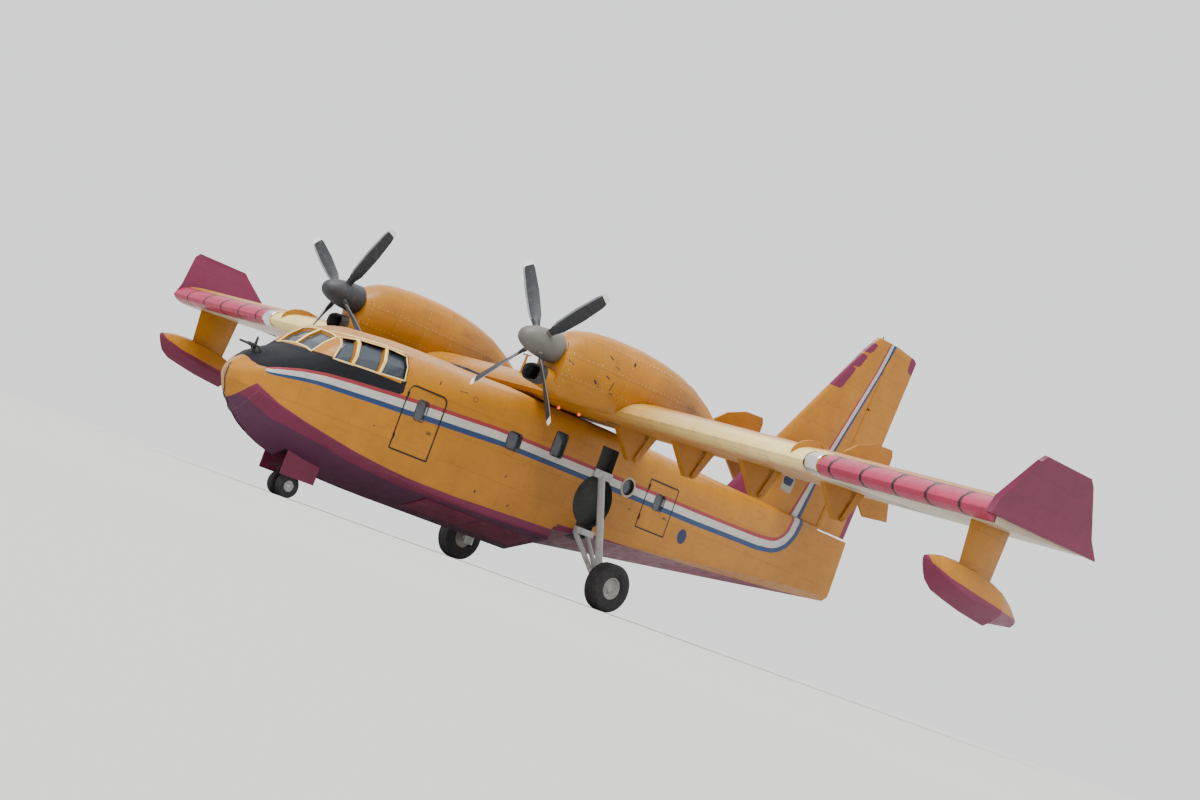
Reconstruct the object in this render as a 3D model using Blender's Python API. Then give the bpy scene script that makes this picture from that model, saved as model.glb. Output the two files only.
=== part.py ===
# A twin-engined amphibious flying boat, standing on its extended landing gear.
# Metres. +X is the port (left) side, -Y is the nose and +Z is up. The origin is on the ground,
# below the middle of the box round the aircraft. Stations are measured aft from the nose.
import math

import bmesh
import bpy
import numpy as np
from mathutils import Matrix, Vector

LENGTH = 19.82
HEIGHT = 8.98
GAP = 0.0004          # between pieces that touch
RUN_GAP = 0.0003      # round a pin that turns in its bore
CLEAR = 0.008         # round pieces that move

BEAM_HALF = 1.295     # widest half of the hull
KEEL_Z = 0.57         # flat part of the keel above the ground
STEP = 8.60           # station of the planing step
STERN = 19.38         # station of the upright stern post
WALL = 0.07           # hull wall with its frames
FLOOR_Z = 1.46        # cabin floor

CHORD = 3.54
WING_LE = 6.88        # station of the wing's leading edge
WING_Z = 4.06         # height of the wing's chord line
WING_HALF = 13.87     # half span of the wing without its tip plates
TIP_HALF = 14.315     # half span over the tip plates
FLAP_IN, FLAP_OUT = 1.42, 9.72
FLAP_CUT = 9.36       # station of the shroud ahead of the flap
AILERON_OUT = 13.80
AILERON_HINGE = 9.66
FLAP_PIVOT = (9.25, 3.38)   # station and height of the external flap hinge
BRACKETS = (2.3, 4.15, 6.2, 8.55)

ENGINE_X = 3.51
PROP_STATION, PROP_Z = 4.48, 4.755
PROP_RADIUS = 1.985
PROP_PHASE = (-0.642, -0.985)   # port and starboard, clockwise from up as the pilot's port side shows

FLOAT_X = 13.2

TAIL_HALF = 5.485
TAIL_Z = 5.42
TAIL_LE, TAIL_TE = 15.9, 18.5
ELEVATOR_HINGE = 17.72
FINLET_X = 2.25
FIN_TOP = 8.90
RUDDER_TOE = 8.74     # height where the rudder reaches furthest aft
RUDDER_FOOT = 3.80
HINGE_FOOT, HINGE_HEAD = 18.20, 18.80   # stations of the rudder hinge at its foot and head

MAIN_RADIUS, MAIN_WIDTH = 0.538, 0.38
TRACK_HALF = 2.64
MAIN_STATION = 9.50
NOSE_RADIUS, NOSE_WIDTH = 0.25, 0.17
NOSE_STATION = MAIN_STATION - 7.23
NOSE_SPACING = 0.15

for old in list(bpy.data.objects):
    bpy.data.objects.remove(old, do_unlink=True)
parts = bpy.data.collections.new("flying_boat")
cutters = bpy.data.collections.new("cutters")
for group in (parts, cutters):
    bpy.context.scene.collection.children.link(group)
cutters.hide_render = True


def material(name, colour, roughness, metallic=0.0):
    made = bpy.data.materials.new(name)
    made.use_nodes = True
    shader = made.node_tree.nodes["Principled BSDF"]
    shader.inputs["Base Color"].default_value = (*colour, 1.0)
    shader.inputs["Roughness"].default_value = roughness
    shader.inputs["Metallic"].default_value = metallic
    return made


YELLOW = (0.78, 0.36, 0.03)
PLUM = (0.16, 0.012, 0.05)
GREY = (0.30, 0.30, 0.31)
BLACK = (0.02, 0.02, 0.022)
STEEL = (0.45, 0.45, 0.46)


def yellow(name):
    return material(name, YELLOW, 0.45)


def plum(name):
    return material(name, PLUM, 0.45)


def smoked(name):
    return material(name, (0.04, 0.05, 0.055), 0.1)


def along(station):
    """The Y of a station."""
    return station - LENGTH / 2


def place(name, mesh, finish=None, cutter=False):
    obj = bpy.data.objects.new(name, mesh)
    if cutter:
        cutters.objects.link(obj)
        obj.hide_render = True
        obj.display_type = "WIRE"
    else:
        parts.objects.link(obj)
        mesh.materials.append(finish)
    return obj


def outward(bm):
    bmesh.ops.recalc_face_normals(bm, faces=bm.faces)
    if bm.calc_volume(signed=True) < 0:
        bmesh.ops.reverse_faces(bm, faces=bm.faces)


def meshed(name, bm):
    outward(bm)
    mesh = bpy.data.meshes.new(name)
    bm.to_mesh(mesh)
    bm.free()
    return mesh


def box(name, low, high, finish=None, cutter=False, bevel=0.0):
    """A box between two corners given as (x, station, z)."""
    low, high = Vector(low), Vector(high)
    bm = bmesh.new()
    bmesh.ops.create_cube(bm, size=1.0)
    middle = (low + high) / 2
    bmesh.ops.scale(bm, vec=high - low, verts=bm.verts)
    bmesh.ops.translate(bm, vec=(middle.x, along(middle.y), middle.z), verts=bm.verts)
    if bevel:
        bmesh.ops.bevel(bm, geom=bm.edges, offset=bevel, segments=2, affect="EDGES", profile=0.5)
    return place(name, meshed(name, bm), finish, cutter)


def rod(name, start, end, radius, finish=None, cutter=False, sides=20, end_radius=None):
    """A round bar or cone between two points given as (x, station, z)."""
    start = Vector((start[0], along(start[1]), start[2]))
    end = Vector((end[0], along(end[1]), end[2]))
    run = end - start
    bm = bmesh.new()
    bmesh.ops.create_cone(
        bm, cap_ends=True, segments=sides, radius1=radius,
        radius2=radius if end_radius is None else end_radius, depth=run.length,
    )
    turn = run.to_track_quat("Z", "Y").to_matrix().to_4x4()
    bmesh.ops.transform(bm, matrix=Matrix.Translation((start + end) / 2) @ turn, verts=bm.verts)
    return place(name, meshed(name, bm), finish, cutter)


def bore_radius(radius, sides):
    """The radius of a many-sided bore in which a round pin of this radius turns."""
    return (radius + RUN_GAP) / math.cos(math.pi / sides)


def hinge_pin(fixed, moving, name, start, end, radius, sides=12):
    """A pin that belongs to one piece, in a bore through the other."""
    join(fixed, rod(f"{name}_pin", start, end, radius, cutter=True, sides=sides))
    start, end = Vector(start), Vector(end)
    past = (end - start).normalized() * 0.01
    bore = rod(f"{name}_bore", start - past, end + past, bore_radius(radius, sides), cutter=True, sides=sides)
    cut(moving, bore)


def prism(name, outline, normal, low, high, finish=None, cutter=False):
    """A flat outline pushed along one axis. On x the outline is (station, z), on z it is (x, station)."""
    bm = bmesh.new()
    if normal == "x":
        points = [(low, along(a), b) for a, b in outline]
        push = (high - low, 0, 0)
    else:
        points = [(a, along(b), low) for a, b in outline]
        push = (0, 0, high - low)
    face = bm.faces.new([bm.verts.new(p) for p in points])
    made = bmesh.ops.extrude_face_region(bm, geom=[face])["geom"]
    bmesh.ops.translate(bm, vec=push, verts=[v for v in made if isinstance(v, bmesh.types.BMVert)])
    return place(name, meshed(name, bm), finish, cutter)


def loft(name, rings, finish=None, cutter=False):
    """A skin through rings of equal count, each a list of (x, station, z), closed at both ends."""
    bm = bmesh.new()
    rows = [[bm.verts.new((x, along(s), z)) for x, s, z in ring] for ring in rings]
    count = len(rows[0])
    for first, second in zip(rows, rows[1:]):
        for i in range(count):
            j = (i + 1) % count
            bm.faces.new((first[i], first[j], second[j], second[i]))
    bm.faces.new(rows[0][::-1])
    bm.faces.new(rows[-1])
    bmesh.ops.remove_doubles(bm, verts=bm.verts, dist=1e-5)
    bmesh.ops.triangulate(bm, faces=bm.faces, quad_method="FIXED")
    return place(name, meshed(name, bm), finish, cutter)


def boolean(obj, other, operation):
    modifier = obj.modifiers.new(other.name, "BOOLEAN")
    modifier.operation = operation
    modifier.object = other
    modifier.solver = "EXACT"


def cut(obj, *others):
    for other in others:
        boolean(obj, other, "DIFFERENCE")
    return obj


def join(obj, *others):
    """Unites shapes that were made as cutters with an object."""
    for other in others:
        boolean(obj, other, "UNION")
    return obj


def put_origin(obj, station_point):
    """Moves the object's origin onto its joint's axis without moving its shape."""
    x, s, z = station_point
    point = Vector((x, along(s), z))
    obj.data.transform(Matrix.Translation(-point))
    obj.location = point
    return obj


def at(table, s):
    """A smooth line through a few (station, value) pairs."""
    xs = np.array([p[0] for p in table], float)
    ys = np.array([p[1] for p in table], float)
    slopes = np.gradient(ys, xs)
    i = int(np.clip(np.searchsorted(xs, s) - 1, 0, len(xs) - 2))
    width = xs[i + 1] - xs[i]
    t = float(np.clip((s - xs[i]) / width, 0, 1))
    steep = (ys[i + 1] - ys[i]) / width
    a, b = slopes[i], slopes[i + 1]
    if steep == 0:
        a = b = 0.0
    else:
        a = steep * min(max(a / steep, 0), 3)
        b = steep * min(max(b / steep, 0), 3)
    h = t * t * (3 - 2 * t)
    return float(
        ys[i] * (1 - h) + ys[i + 1] * h
        + width * (a * t * (1 - t) ** 2 - b * t * t * (1 - t))
    )


# The hull. Its lines are heights and half widths against station.
KEEL = ((0, 1.86), (0.12, 1.56), (0.3, 1.37), (0.62, 1.13), (1.1, 0.91), (1.7, 0.75), (2.6, 0.63),
        (4.0, KEEL_Z), (STEP, KEEL_Z))
CHINE = ((0, 1.93), (0.3, 1.78), (0.8, 1.63), (1.7, 1.42), (3.6, 1.20), (5.5, 1.11), (STEP, 1.08))
CHINE_HALF = ((0, 0.06), (0.12, 0.30), (0.3, 0.48), (0.62, 0.66), (1.1, 0.84), (1.7, 0.98),
              (2.6, 1.13), (3.6, 1.22), (5.0, 1.27), (STEP, 1.27))
CHINE_LIP = 0.10   # how far above the chine the side's flat begins, less at the narrow stem
BOTTOM_SHARE = ((0, 0.36), (2, 0.42), (4.2, 0.5), (STEP, 0.5))   # hollow bow sections, flat ones aft
AFT_KEEL = ((STEP, 0.84), (STERN, 2.13))
AFT_CHINE = ((STEP, 1.34), (11.3, 1.60), (14.0, 1.85), (17.3, 2.14), (STERN, 2.26))
SIDE_HALF = ((0, 0.07), (0.12, 0.36), (0.3, 0.56), (0.62, 0.78), (1.1, 0.97), (1.7, 1.12), (2.6, 1.24),
             (3.4, 1.285), (5.0, BEAM_HALF), (9.4, BEAM_HALF), (11.0, 1.20), (12.5, 1.06), (14.0, 0.86),
             (15.5, 0.64), (17.0, 0.43), (18.4, 0.26), (STERN, 0.15))
SHOULDER = ((0, 2.02), (0.3, 2.16), (1.1, 2.50), (1.7, 2.74), (2.6, 2.93), (3.4, 3.08), (4.0, 3.14),
            (5.5, 3.20), (6.6, 3.46), (9.8, 3.56), (11.2, 3.40), (13.0, 3.20), (14.7, 3.05), (17.0, 2.95),
            (STERN, 2.9))
EDGE_HALF = ((0, 0.04), (0.3, 0.30), (1.1, 0.66), (1.3, 0.72), (1.9, 0.76), (2.6, 0.82), (4.0, 0.84),
             (5.5, 0.90), (6.6, 1.12), (9.8, 1.12), (11.2, 0.94), (13.0, 0.68), (14.7, 0.47), (17.0, 0.33),
             (18.4, 0.22), (STERN, 0.13))
EDGE = ((0, 2.10), (0.3, 2.38), (1.1, 2.82), (1.3, 2.92), (1.55, 3.22), (1.9, 3.50), (2.6, 3.66),
        (4.0, 3.72), (5.5, 3.76), (6.6, 3.86), (11.2, 3.84), (13.0, 3.80), (14.7, 3.80), (17.0, 3.80),
        (STERN, 3.80))
TOP = ((0, 2.14), (0.12, 2.32), (0.31, 2.49), (0.99, 2.86), (1.25, 2.98), (1.55, 3.32), (1.9, 3.60),
       (2.9, 3.82), (4.2, 3.92), (6.6, 3.95), (11.2, 3.95), (14.7, 3.89), (17.0, 3.87), (STERN, 3.86))


def hull_ring(s, aft=False, inset=0.0, floor=None, ceiling=None):
    """One closed section, from the keel up the port side, over the top and down the starboard side."""
    keel = at(AFT_KEEL if aft else KEEL, s)
    chine = at(AFT_CHINE if aft else CHINE, s)
    side = at(SIDE_HALF, s)
    low = min(at(CHINE_HALF, s), side) if not aft else side * 0.98
    shoulder, edge, top = at(SHOULDER, s), at(EDGE, s), at(TOP, s)
    edge_half = at(EDGE_HALF, s)
    hollow = 0.5 if aft else at(BOTTOM_SHARE, s)
    lip = chine + min(CHINE_LIP, (shoulder - chine) * 0.35)
    half = [(0.0, keel), (low * 0.5, keel + (chine - keel) * hollow), (low, chine), (side, lip),
            (side, (chine + shoulder) / 2), (side, shoulder)]
    for share in (0.35, 0.7):
        turn = share * math.pi / 2
        half.append((
            edge_half + (side - edge_half) * math.cos(turn),
            shoulder + (edge - shoulder) * math.sin(turn),
        ))
    half += [(edge_half, edge), (edge_half * 0.55, edge + (top - edge) * 0.72), (0.0, top)]
    if inset:
        middle = (keel + top) / 2
        reach = top - middle
        half = [(max(x - inset, 0) if x else 0.0, middle + (z - middle) * (1 - inset / reach)) for x, z in half]
    if floor is not None:
        half = [(x, max(z, floor)) for x, z in half]
    if ceiling is not None:
        half = [(x, min(z, ceiling)) for x, z in half]
    ring = [(x, s, z) for x, z in half]
    return ring + [(-x, s, z) for x, z in half[-2:0:-1]]


FORE_STATIONS = (0, 0.04, 0.12, 0.3, 0.62, 1.0, 1.25, 1.4, 1.55, 1.9, 2.4, 2.9, 3.6, 4.3, 5.0, 5.8, 6.6, 7.6,
                 STEP)
AFT_STATIONS = (STEP, 9.6, 10.6, 11.6, 12.6, 13.6, 14.7, 15.8, 17.0, 18.2, 19.0, STERN)


def hull_outer(name, finish=None, cutter=False):
    """The forebody and afterbody in one skin, with the planing step as a short face between them."""
    rings = [hull_ring(s) for s in FORE_STATIONS]
    rings += [hull_ring(s + (0.012 if s == STEP else 0), aft=True) for s in AFT_STATIONS]
    return loft(name, rings, finish, cutter)



# Inside the hull: a cockpit floor, a lower cabin floor, and a lower ceiling under the wing.
CAVITY_FLOOR = ((1.3, 1.95), (3.40, 1.95), (3.44, FLOOR_Z), (14.0, FLOOR_Z))
CAVITY_CEILING = ((1.3, 4.1), (5.6, 4.1), (6.4, 3.55), (10.7, 3.55), (11.4, 4.1), (13.6, 4.1), (14.4, 3.42),
                  (18.0, 3.42))
FORE_CAVITY = (1.32, 1.4, 1.55, 1.9, 2.4, 2.9, 3.40, 3.44, 4.3, 5.0, 5.6, 6.4, 7.6, 8.35)
AFT_CAVITY = (10.15, 10.7, 11.4, 12.1, 12.8, 13.6, 14.4, 15.8, 17.0, 17.9)
GLASS_FRONT, GLASS_BACK = 1.32, 3.40


def cavity(name, stations, aft):
    rings = []
    for s in stations:
        floor = float(np.interp(s, *zip(*CAVITY_FLOOR)))
        if aft:
            floor = max(floor, at(AFT_CHINE, s) + 0.14)
        ceiling = float(np.interp(s, *zip(*CAVITY_CEILING)))
        rings.append(hull_ring(s, aft, WALL, floor, ceiling))
    return loft(name, rings, cutter=True)


def rounded(low, high, radius, corners="all", steps=4):
    """A rectangle in (station, z) with round corners, or only its upper ones."""
    (s0, z0), (s1, z1) = low, high
    points = []
    turns = ((s1, z1, 0, True), (s0, z1, 90, True), (s0, z0, 180, False), (s1, z0, 270, False))
    for cs, cz, start, upper in turns:
        if corners == "top" and not upper:
            points.append((cs, cz))
            continue
        ms = cs - radius if cs == s1 else cs + radius
        mz = cz - radius if cz == z1 else cz + radius
        for k in range(steps + 1):
            turn = math.radians(start + 90 * k / steps)
            points.append((ms + radius * math.cos(turn), mz + radius * math.sin(turn)))
    return points


# Doors and windows.
DOOR_GAP = 0.006
FORE_DOOR = ((3.55, 1.72), (4.58, 3.09))
FORE_DOOR_ROUND = 0.13
AFT_DOOR = ((11.10, 2.10), (12.13, 3.22))
SIDE_WINDOW = ((6.50, 2.64), (6.88, 2.99))
EXIT_WINDOW = ((7.80, 2.87), (8.14, 3.38))
FORE_DOOR_WINDOW = ((3.88, 2.46), (4.16, 2.86))
AFT_DOOR_WINDOW = ((11.45, 2.62), (11.77, 2.96))
ROUND_WINDOW = (10.42, 2.84, 0.19)
COCKPIT_PANES = (
    ((1.62, 3.00), (2.00, 3.02), (2.13, 3.53), (1.86, 3.47)),
    ((2.08, 3.03), (2.66, 3.06), (2.79, 3.60), (2.21, 3.55)),
    ((2.74, 3.07), (3.33, 3.12), (3.33, 3.60), (2.87, 3.61)),
)
SCREEN_INNER, SCREEN_OUTER = 0.035, 0.60
SCREEN_FRONT, SCREEN_BACK = 1.34, 1.80

hull = hull_outer("hull", yellow("hull_paint"))
cut(hull, cavity("fore_cavity", FORE_CAVITY, False), cavity("aft_cavity", AFT_CAVITY, True))
cut(hull, box("passage", (-0.55, 8.2, 1.75), (0.55, 10.4, 3.45), cutter=True))
for number, outline in enumerate(COCKPIT_PANES):
    cut(hull, prism(f"pane_cutter_{number}", outline, "x", -1.5, 1.5, cutter=True))
for side in (1, -1):
    edges = sorted((side * SCREEN_INNER, side * SCREEN_OUTER))
    low, high = (edges[0], SCREEN_FRONT, 2.88), (edges[1], SCREEN_BACK, 3.9)
    cut(hull, box(f"screen_cutter_{side}", low, high, cutter=True))
cut(hull, prism("side_window_cutter", rounded(*SIDE_WINDOW, 0.08), "x", -1.5, 1.5, cutter=True))
cut(hull, prism("exit_window_cutter", rounded(*EXIT_WINDOW, 0.05), "x", -1.5, 1.5, cutter=True))
cut(hull, rod("round_window_cutter", (-1.5, *ROUND_WINDOW[:2]), (1.5, *ROUND_WINDOW[:2]),
              ROUND_WINDOW[2], cutter=True, sides=24))
(fd_s0, fd_z0), (fd_s1, fd_z1) = FORE_DOOR
cut(hull, prism("fore_door_cutter", rounded(*FORE_DOOR, FORE_DOOR_ROUND, "top"), "x", 1.0, 1.5, cutter=True))
(ad_s0, ad_z0), (ad_s1, ad_z1) = AFT_DOOR
cut(hull, box("aft_door_cutter", (0.9, ad_s0, ad_z0), (1.4, ad_s1, ad_z1), cutter=True))

# The wheel wells and leg slots in the hull's sides.
WELL_RADIUS, WELL_Z, WELL_FLOOR = 0.60, 2.24, 1.02
SLOT_HALF, SLOT_TOP, SLOT_FLOOR = 0.27, 3.50, 1.10
for side in (1, -1):
    cut(hull, rod(f"well_cutter_{side}", (side * WELL_FLOOR, MAIN_STATION, WELL_Z),
                  (side * 1.5, MAIN_STATION, WELL_Z), WELL_RADIUS, cutter=True, sides=32))
    edges = sorted((side * SLOT_FLOOR, side * 1.5))
    cut(hull, box(f"slot_cutter_{side}", (edges[0], MAIN_STATION - SLOT_HALF, 1.30),
                  (edges[1], MAIN_STATION + SLOT_HALF, SLOT_TOP), cutter=True))

# The water tank's four drop doors lie flush in the planing bottom and hinge at their outboard edges.
SLOPE = math.atan2(at(CHINE, STEP) - KEEL_Z, at(CHINE_HALF, STEP))
DROP_IN, DROP_OUT = 0.28, 1.09      # measured up the bottom's slope from the keel
DROP_THICK, DROP_DEEP = 0.05, 0.34
DROP_PIN, DROP_PIN_IN, DROP_PIN_PAST = 0.007, 0.012, 0.02
DROP_STATIONS = ((5.17, 6.77), (6.87, 8.47))


def on_bottom(along_slope, depth, side):
    """(x, z) of a point on the planing bottom, a depth above its surface."""
    x = along_slope * math.cos(SLOPE) - depth * math.sin(SLOPE)
    return side * x, KEEL_Z + along_slope * math.sin(SLOPE) + depth * math.cos(SLOPE)


def bottom_block(name, side, low, high, inner, outer, base, roof, finish=None, cutter=False):
    """A block with its faces along the slope of the bottom, between two stations."""
    corners = [on_bottom(inner, base, side), on_bottom(outer, base, side),
               on_bottom(outer, roof, side), on_bottom(inner, roof, side)]
    rings = [[(x, s, z) for x, z in corners] for s in (low, high)]
    return loft(name, rings, finish, cutter)


for row, (low, high) in zip(("fore", "rear"), DROP_STATIONS):
    for side, word in ((1, "left"), (-1, "right")):
        well = bottom_block(f"tank_{row}_{word}", side, low - DOOR_GAP, high + DOOR_GAP,
                            DROP_IN - DOOR_GAP, DROP_OUT + DOOR_GAP, -0.1, DROP_DEEP, cutter=True)
        cut(hull, well)
        door = bottom_block(f"drop_door_{row}_{word}", side, low, high, DROP_IN, DROP_OUT, 0.001,
                            DROP_THICK, plum(f"drop_door_{row}_{word}_paint"))
        hinge_x, hinge_z = on_bottom(DROP_OUT - DROP_PIN_IN, DROP_PIN_IN, side)
        hinge_pin(hull, door, f"drop_{row}_{word}", (hinge_x, low - DROP_PIN_PAST, hinge_z),
                  (hinge_x, high + DROP_PIN_PAST, hinge_z), DROP_PIN, 10)
        put_origin(door, (hinge_x, (low + high) / 2, hinge_z))

# The nose gear's bay under the bow.
BAY_HALF, BAY_FRONT, BAY_BACK, BAY_ROOF = 0.36, 1.76, 2.78, 1.75
cut(hull, box("nose_bay", (-BAY_HALF, BAY_FRONT, 0.3), (BAY_HALF, BAY_BACK, BAY_ROOF), cutter=True))

# Glass. The cockpit's lies against the inside of the shell in one piece, behind all its panes.
glass_stations = [s for s in FORE_CAVITY if GLASS_FRONT <= s <= GLASS_BACK]
glass_stations[-1] -= 0.02
GLASS_LOW = 2.95
GLASS_SEAT = 0.0012
glass = loft("cockpit_glass", [hull_ring(s, False, WALL + GLASS_SEAT) for s in glass_stations],
             smoked("cockpit_glass"))
inner_stations = [glass_stations[0] + 0.02, *glass_stations[1:-1], glass_stations[-1] + 0.1]
cut(glass, loft("glass_hollow", [hull_ring(s, False, WALL + 0.016) for s in inner_stations], cutter=True))
cut(glass, box("below_glass", (-2, 1.0, 0.2), (2, 4.0, GLASS_LOW), cutter=True))
PANE_THICK = 0.013
CABIN_PANE = ((6.42, 2.58), (8.22, 2.58), (8.22, 3.41), (7.70, 3.41), (7.10, 3.05), (6.42, 3.05))
for side, word in ((1, "left"), (-1, "right")):
    wall_inside = BEAM_HALF - WALL - GAP
    edges = sorted((side * wall_inside, side * (wall_inside - PANE_THICK)))
    prism(f"cabin_glass_{word}", CABIN_PANE, "x", *edges, smoked(f"cabin_glass_{word}"))
    # The round window's pane follows the wall's slant between two of its frames.
    fore, aft = (Vector((at(SIDE_HALF, s) - WALL, s, 0)) for s in AFT_CAVITY[:2])
    seat = fore.lerp(aft, (ROUND_WINDOW[0] - fore.y) / (aft.y - fore.y))
    inward = Vector((fore.y - aft.y, aft.x - fore.x, 0)).normalized()
    outer_face, inner_face = seat + inward * GAP, seat + inward * (GAP + PANE_THICK)
    rod(f"round_glass_{word}", (side * inner_face.x, inner_face.y, ROUND_WINDOW[1]),
        (side * outer_face.x, outer_face.y, ROUND_WINDOW[1]), ROUND_WINDOW[2] + 0.03,
        smoked(f"round_glass_{word}"), sides=24)

# The crew door swings out on its forward edge; so does the smaller aft door. Their hinges stand
# proud of the skin: each has a leaf and a barrel on the hull, and the same on the door above it.
DOOR_THICK = 0.055
HINGE_OUT, BARREL, BARREL_LONG = 0.020, 0.011, 0.06
LEAF_LOW, LEAF_HIGH, LEAF_WIDE = -0.004, 0.012, 0.04


def door_hinges(name, door, skin, opening):
    (front, sill), (_, head) = opening
    axis = (skin + HINGE_OUT, front)
    for number, share in enumerate((0.14, 0.80)):
        base = sill + (head - sill) * share
        for owner, low, near, far in ((hull, base, -LEAF_WIDE, -0.001),
                                      (door, base + BARREL_LONG + GAP, 0.003, LEAF_WIDE)):
            tag = f"{name}_{number}_{owner.name}"
            high = low + BARREL_LONG
            join(owner, box(f"leaf_{tag}", (skin + LEAF_LOW, front + near, low + 0.001),
                            (skin + LEAF_HIGH, front + far, high - 0.001), cutter=True))
            join(owner, rod(f"barrel_{tag}", (*axis, low), (*axis, high), BARREL, cutter=True, sides=12))
    put_origin(door, (*axis, (sill + head) / 2))


door_outline = rounded((fd_s0 + DOOR_GAP, fd_z0 + DOOR_GAP), (fd_s1 - DOOR_GAP, fd_z1 - DOOR_GAP),
                       FORE_DOOR_ROUND - DOOR_GAP, "top")
fore_skin = at(SIDE_HALF, fd_s0) - 0.002
crew_door = prism("crew_door", door_outline, "x", fore_skin - DOOR_THICK, fore_skin, yellow("crew_door_paint"))
cut(crew_door, prism("crew_door_window", rounded(*FORE_DOOR_WINDOW, 0.07), "x", 1.0, 1.5, cutter=True))
pane = rounded((3.85, 2.43), (4.19, 2.89), 0.09)
prism("crew_door_glass", pane, "x", fore_skin - DOOR_THICK - 0.013, fore_skin - DOOR_THICK - GAP,
      smoked("crew_door_glass"))
door_hinges("crew_door", crew_door, fore_skin, FORE_DOOR)

aft_front, aft_back = at(SIDE_HALF, ad_s0) - 0.003, at(SIDE_HALF, ad_s1) - 0.003
aft_outline = [(aft_front, ad_s0 + DOOR_GAP), (aft_back, ad_s1 - DOOR_GAP),
               (aft_back - DOOR_THICK, ad_s1 - DOOR_GAP), (aft_front - DOOR_THICK, ad_s0 + DOOR_GAP)]
aft_door = prism("aft_door", aft_outline, "z", ad_z0 + DOOR_GAP, ad_z1 - DOOR_GAP, yellow("aft_door_paint"))
cut(aft_door, prism("aft_door_window", rounded(*AFT_DOOR_WINDOW, 0.06), "x", 0.8, 1.5, cutter=True))
slant = (aft_front - aft_back) / (ad_s1 - ad_s0 - 2 * DOOR_GAP)
w0, w1 = AFT_DOOR_WINDOW[0][0] - 0.03, AFT_DOOR_WINDOW[1][0] + 0.03
in0 = aft_front - DOOR_THICK - slant * (w0 - ad_s0 - DOOR_GAP) - GAP
in1 = aft_front - DOOR_THICK - slant * (w1 - ad_s0 - DOOR_GAP) - GAP
prism("aft_door_glass", [(in0, w0), (in1, w1), (in1 - 0.013, w1), (in0 - 0.013, w0)], "z",
      AFT_DOOR_WINDOW[0][1] - 0.03, AFT_DOOR_WINDOW[1][1] + 0.03,
      smoked("aft_door_glass"))
door_hinges("aft_door", aft_door, aft_front, AFT_DOOR)

# Cockpit: a panel with its glare shield, and two seats, all standing on the cockpit floor.
COCKPIT_FLOOR = 1.95 + GAP
panel = box("instrument_panel", (-0.80, 1.74, COCKPIT_FLOOR), (0.80, 1.90, 2.80),
            material("panel_paint", BLACK, 0.6))
join(panel, box("glare_shield", (-0.78, 1.62, 2.74), (0.78, 1.96, 2.86), cutter=True, bevel=0.02))
join(panel, box("pedestal", (-0.17, 1.88, COCKPIT_FLOOR), (0.17, 2.6, 2.45), cutter=True))
for side, word in ((1, "left"), (-1, "right")):
    x = side * 0.47
    seat = box(f"seat_{word}", (x - 0.23, 2.45, 2.33), (x + 0.23, 2.92, 2.45),
               material(f"seat_{word}_cloth", (0.05, 0.055, 0.06), 0.9))
    join(seat, box(f"seat_back_{word}", (x - 0.22, 2.84, 2.38), (x + 0.22, 2.97, 3.08), cutter=True, bevel=0.02))
    join(seat, box(f"seat_base_{word}", (x - 0.16, 2.5, COCKPIT_FLOOR), (x + 0.16, 2.86, 2.36), cutter=True))


# The wing: one constant section from tip plate to tip plate, let into the top of the hull.
CAMBER, CAMBER_AT, THICKNESS = 0.04, 0.4, 0.17


def camber_and_half(share):
    """Camber and half thickness of the wing's section, as shares of the chord."""
    if share < CAMBER_AT:
        line = CAMBER / CAMBER_AT ** 2 * (2 * CAMBER_AT * share - share ** 2)
    else:
        line = CAMBER / (1 - CAMBER_AT) ** 2 * (1 - 2 * CAMBER_AT + 2 * CAMBER_AT * share - share ** 2)
    root = 0.2969 * math.sqrt(share) - 0.1260 * share - 0.3516 * share ** 2 + 0.2843 * share ** 3
    return line, 5 * THICKNESS * (root - 0.0995 * share ** 4)


def wing_surface(station, upper):
    line, half = camber_and_half((station - WING_LE) / CHORD)
    return WING_Z + CHORD * (line + half if upper else line - half)


def section(le, chord, height, count=13, grow=0.0, thickness=None, camber=True, end=1.0):
    """An aerofoil outline as (station, z), from the trailing edge over the top and back below."""
    points = []
    for upper in (True, False):
        for k in range(count + 1):
            share = 0.5 * (1 - math.cos(math.pi * k / count)) * end
            line, half = camber_and_half(share)
            if thickness is not None:
                half *= thickness / THICKNESS
            line = line if camber else 0.0
            half = max(half, 0.0016) + grow / chord
            points.append((le + share * chord, height + chord * (line + half if upper else line - half)))
        if upper:
            points.reverse()
    nose = points[count]
    points[count] = (nose[0] - grow, height)
    del points[count + 1]
    return points


wing = prism("wing", section(WING_LE, CHORD, WING_Z), "x", -WING_HALF, WING_HALF, yellow("wing_paint"))
wing_notch = prism("wing_notch", section(WING_LE, CHORD, WING_Z, grow=0.001), "x", -2.0, 2.0, cutter=True)
cut(hull, wing_notch)

FLAP_NOSE = FLAP_CUT + 0.012
HINGE_Z = (wing_surface(AILERON_HINGE, True) + wing_surface(AILERON_HINGE, False)) / 2
AILERON_ROUND = (wing_surface(AILERON_HINGE, True) - wing_surface(AILERON_HINGE, False)) / 2 - 0.004
AILERON_CUT = AILERON_HINGE - AILERON_ROUND - CLEAR
AILERON_IN = FLAP_OUT + 0.03
BRACKET_HALF, ARM_THICK = 0.07, 0.035


def span(side, low, high):
    """Two distances from the middle as low and high x on one side."""
    return sorted((side * low, side * high))


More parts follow.
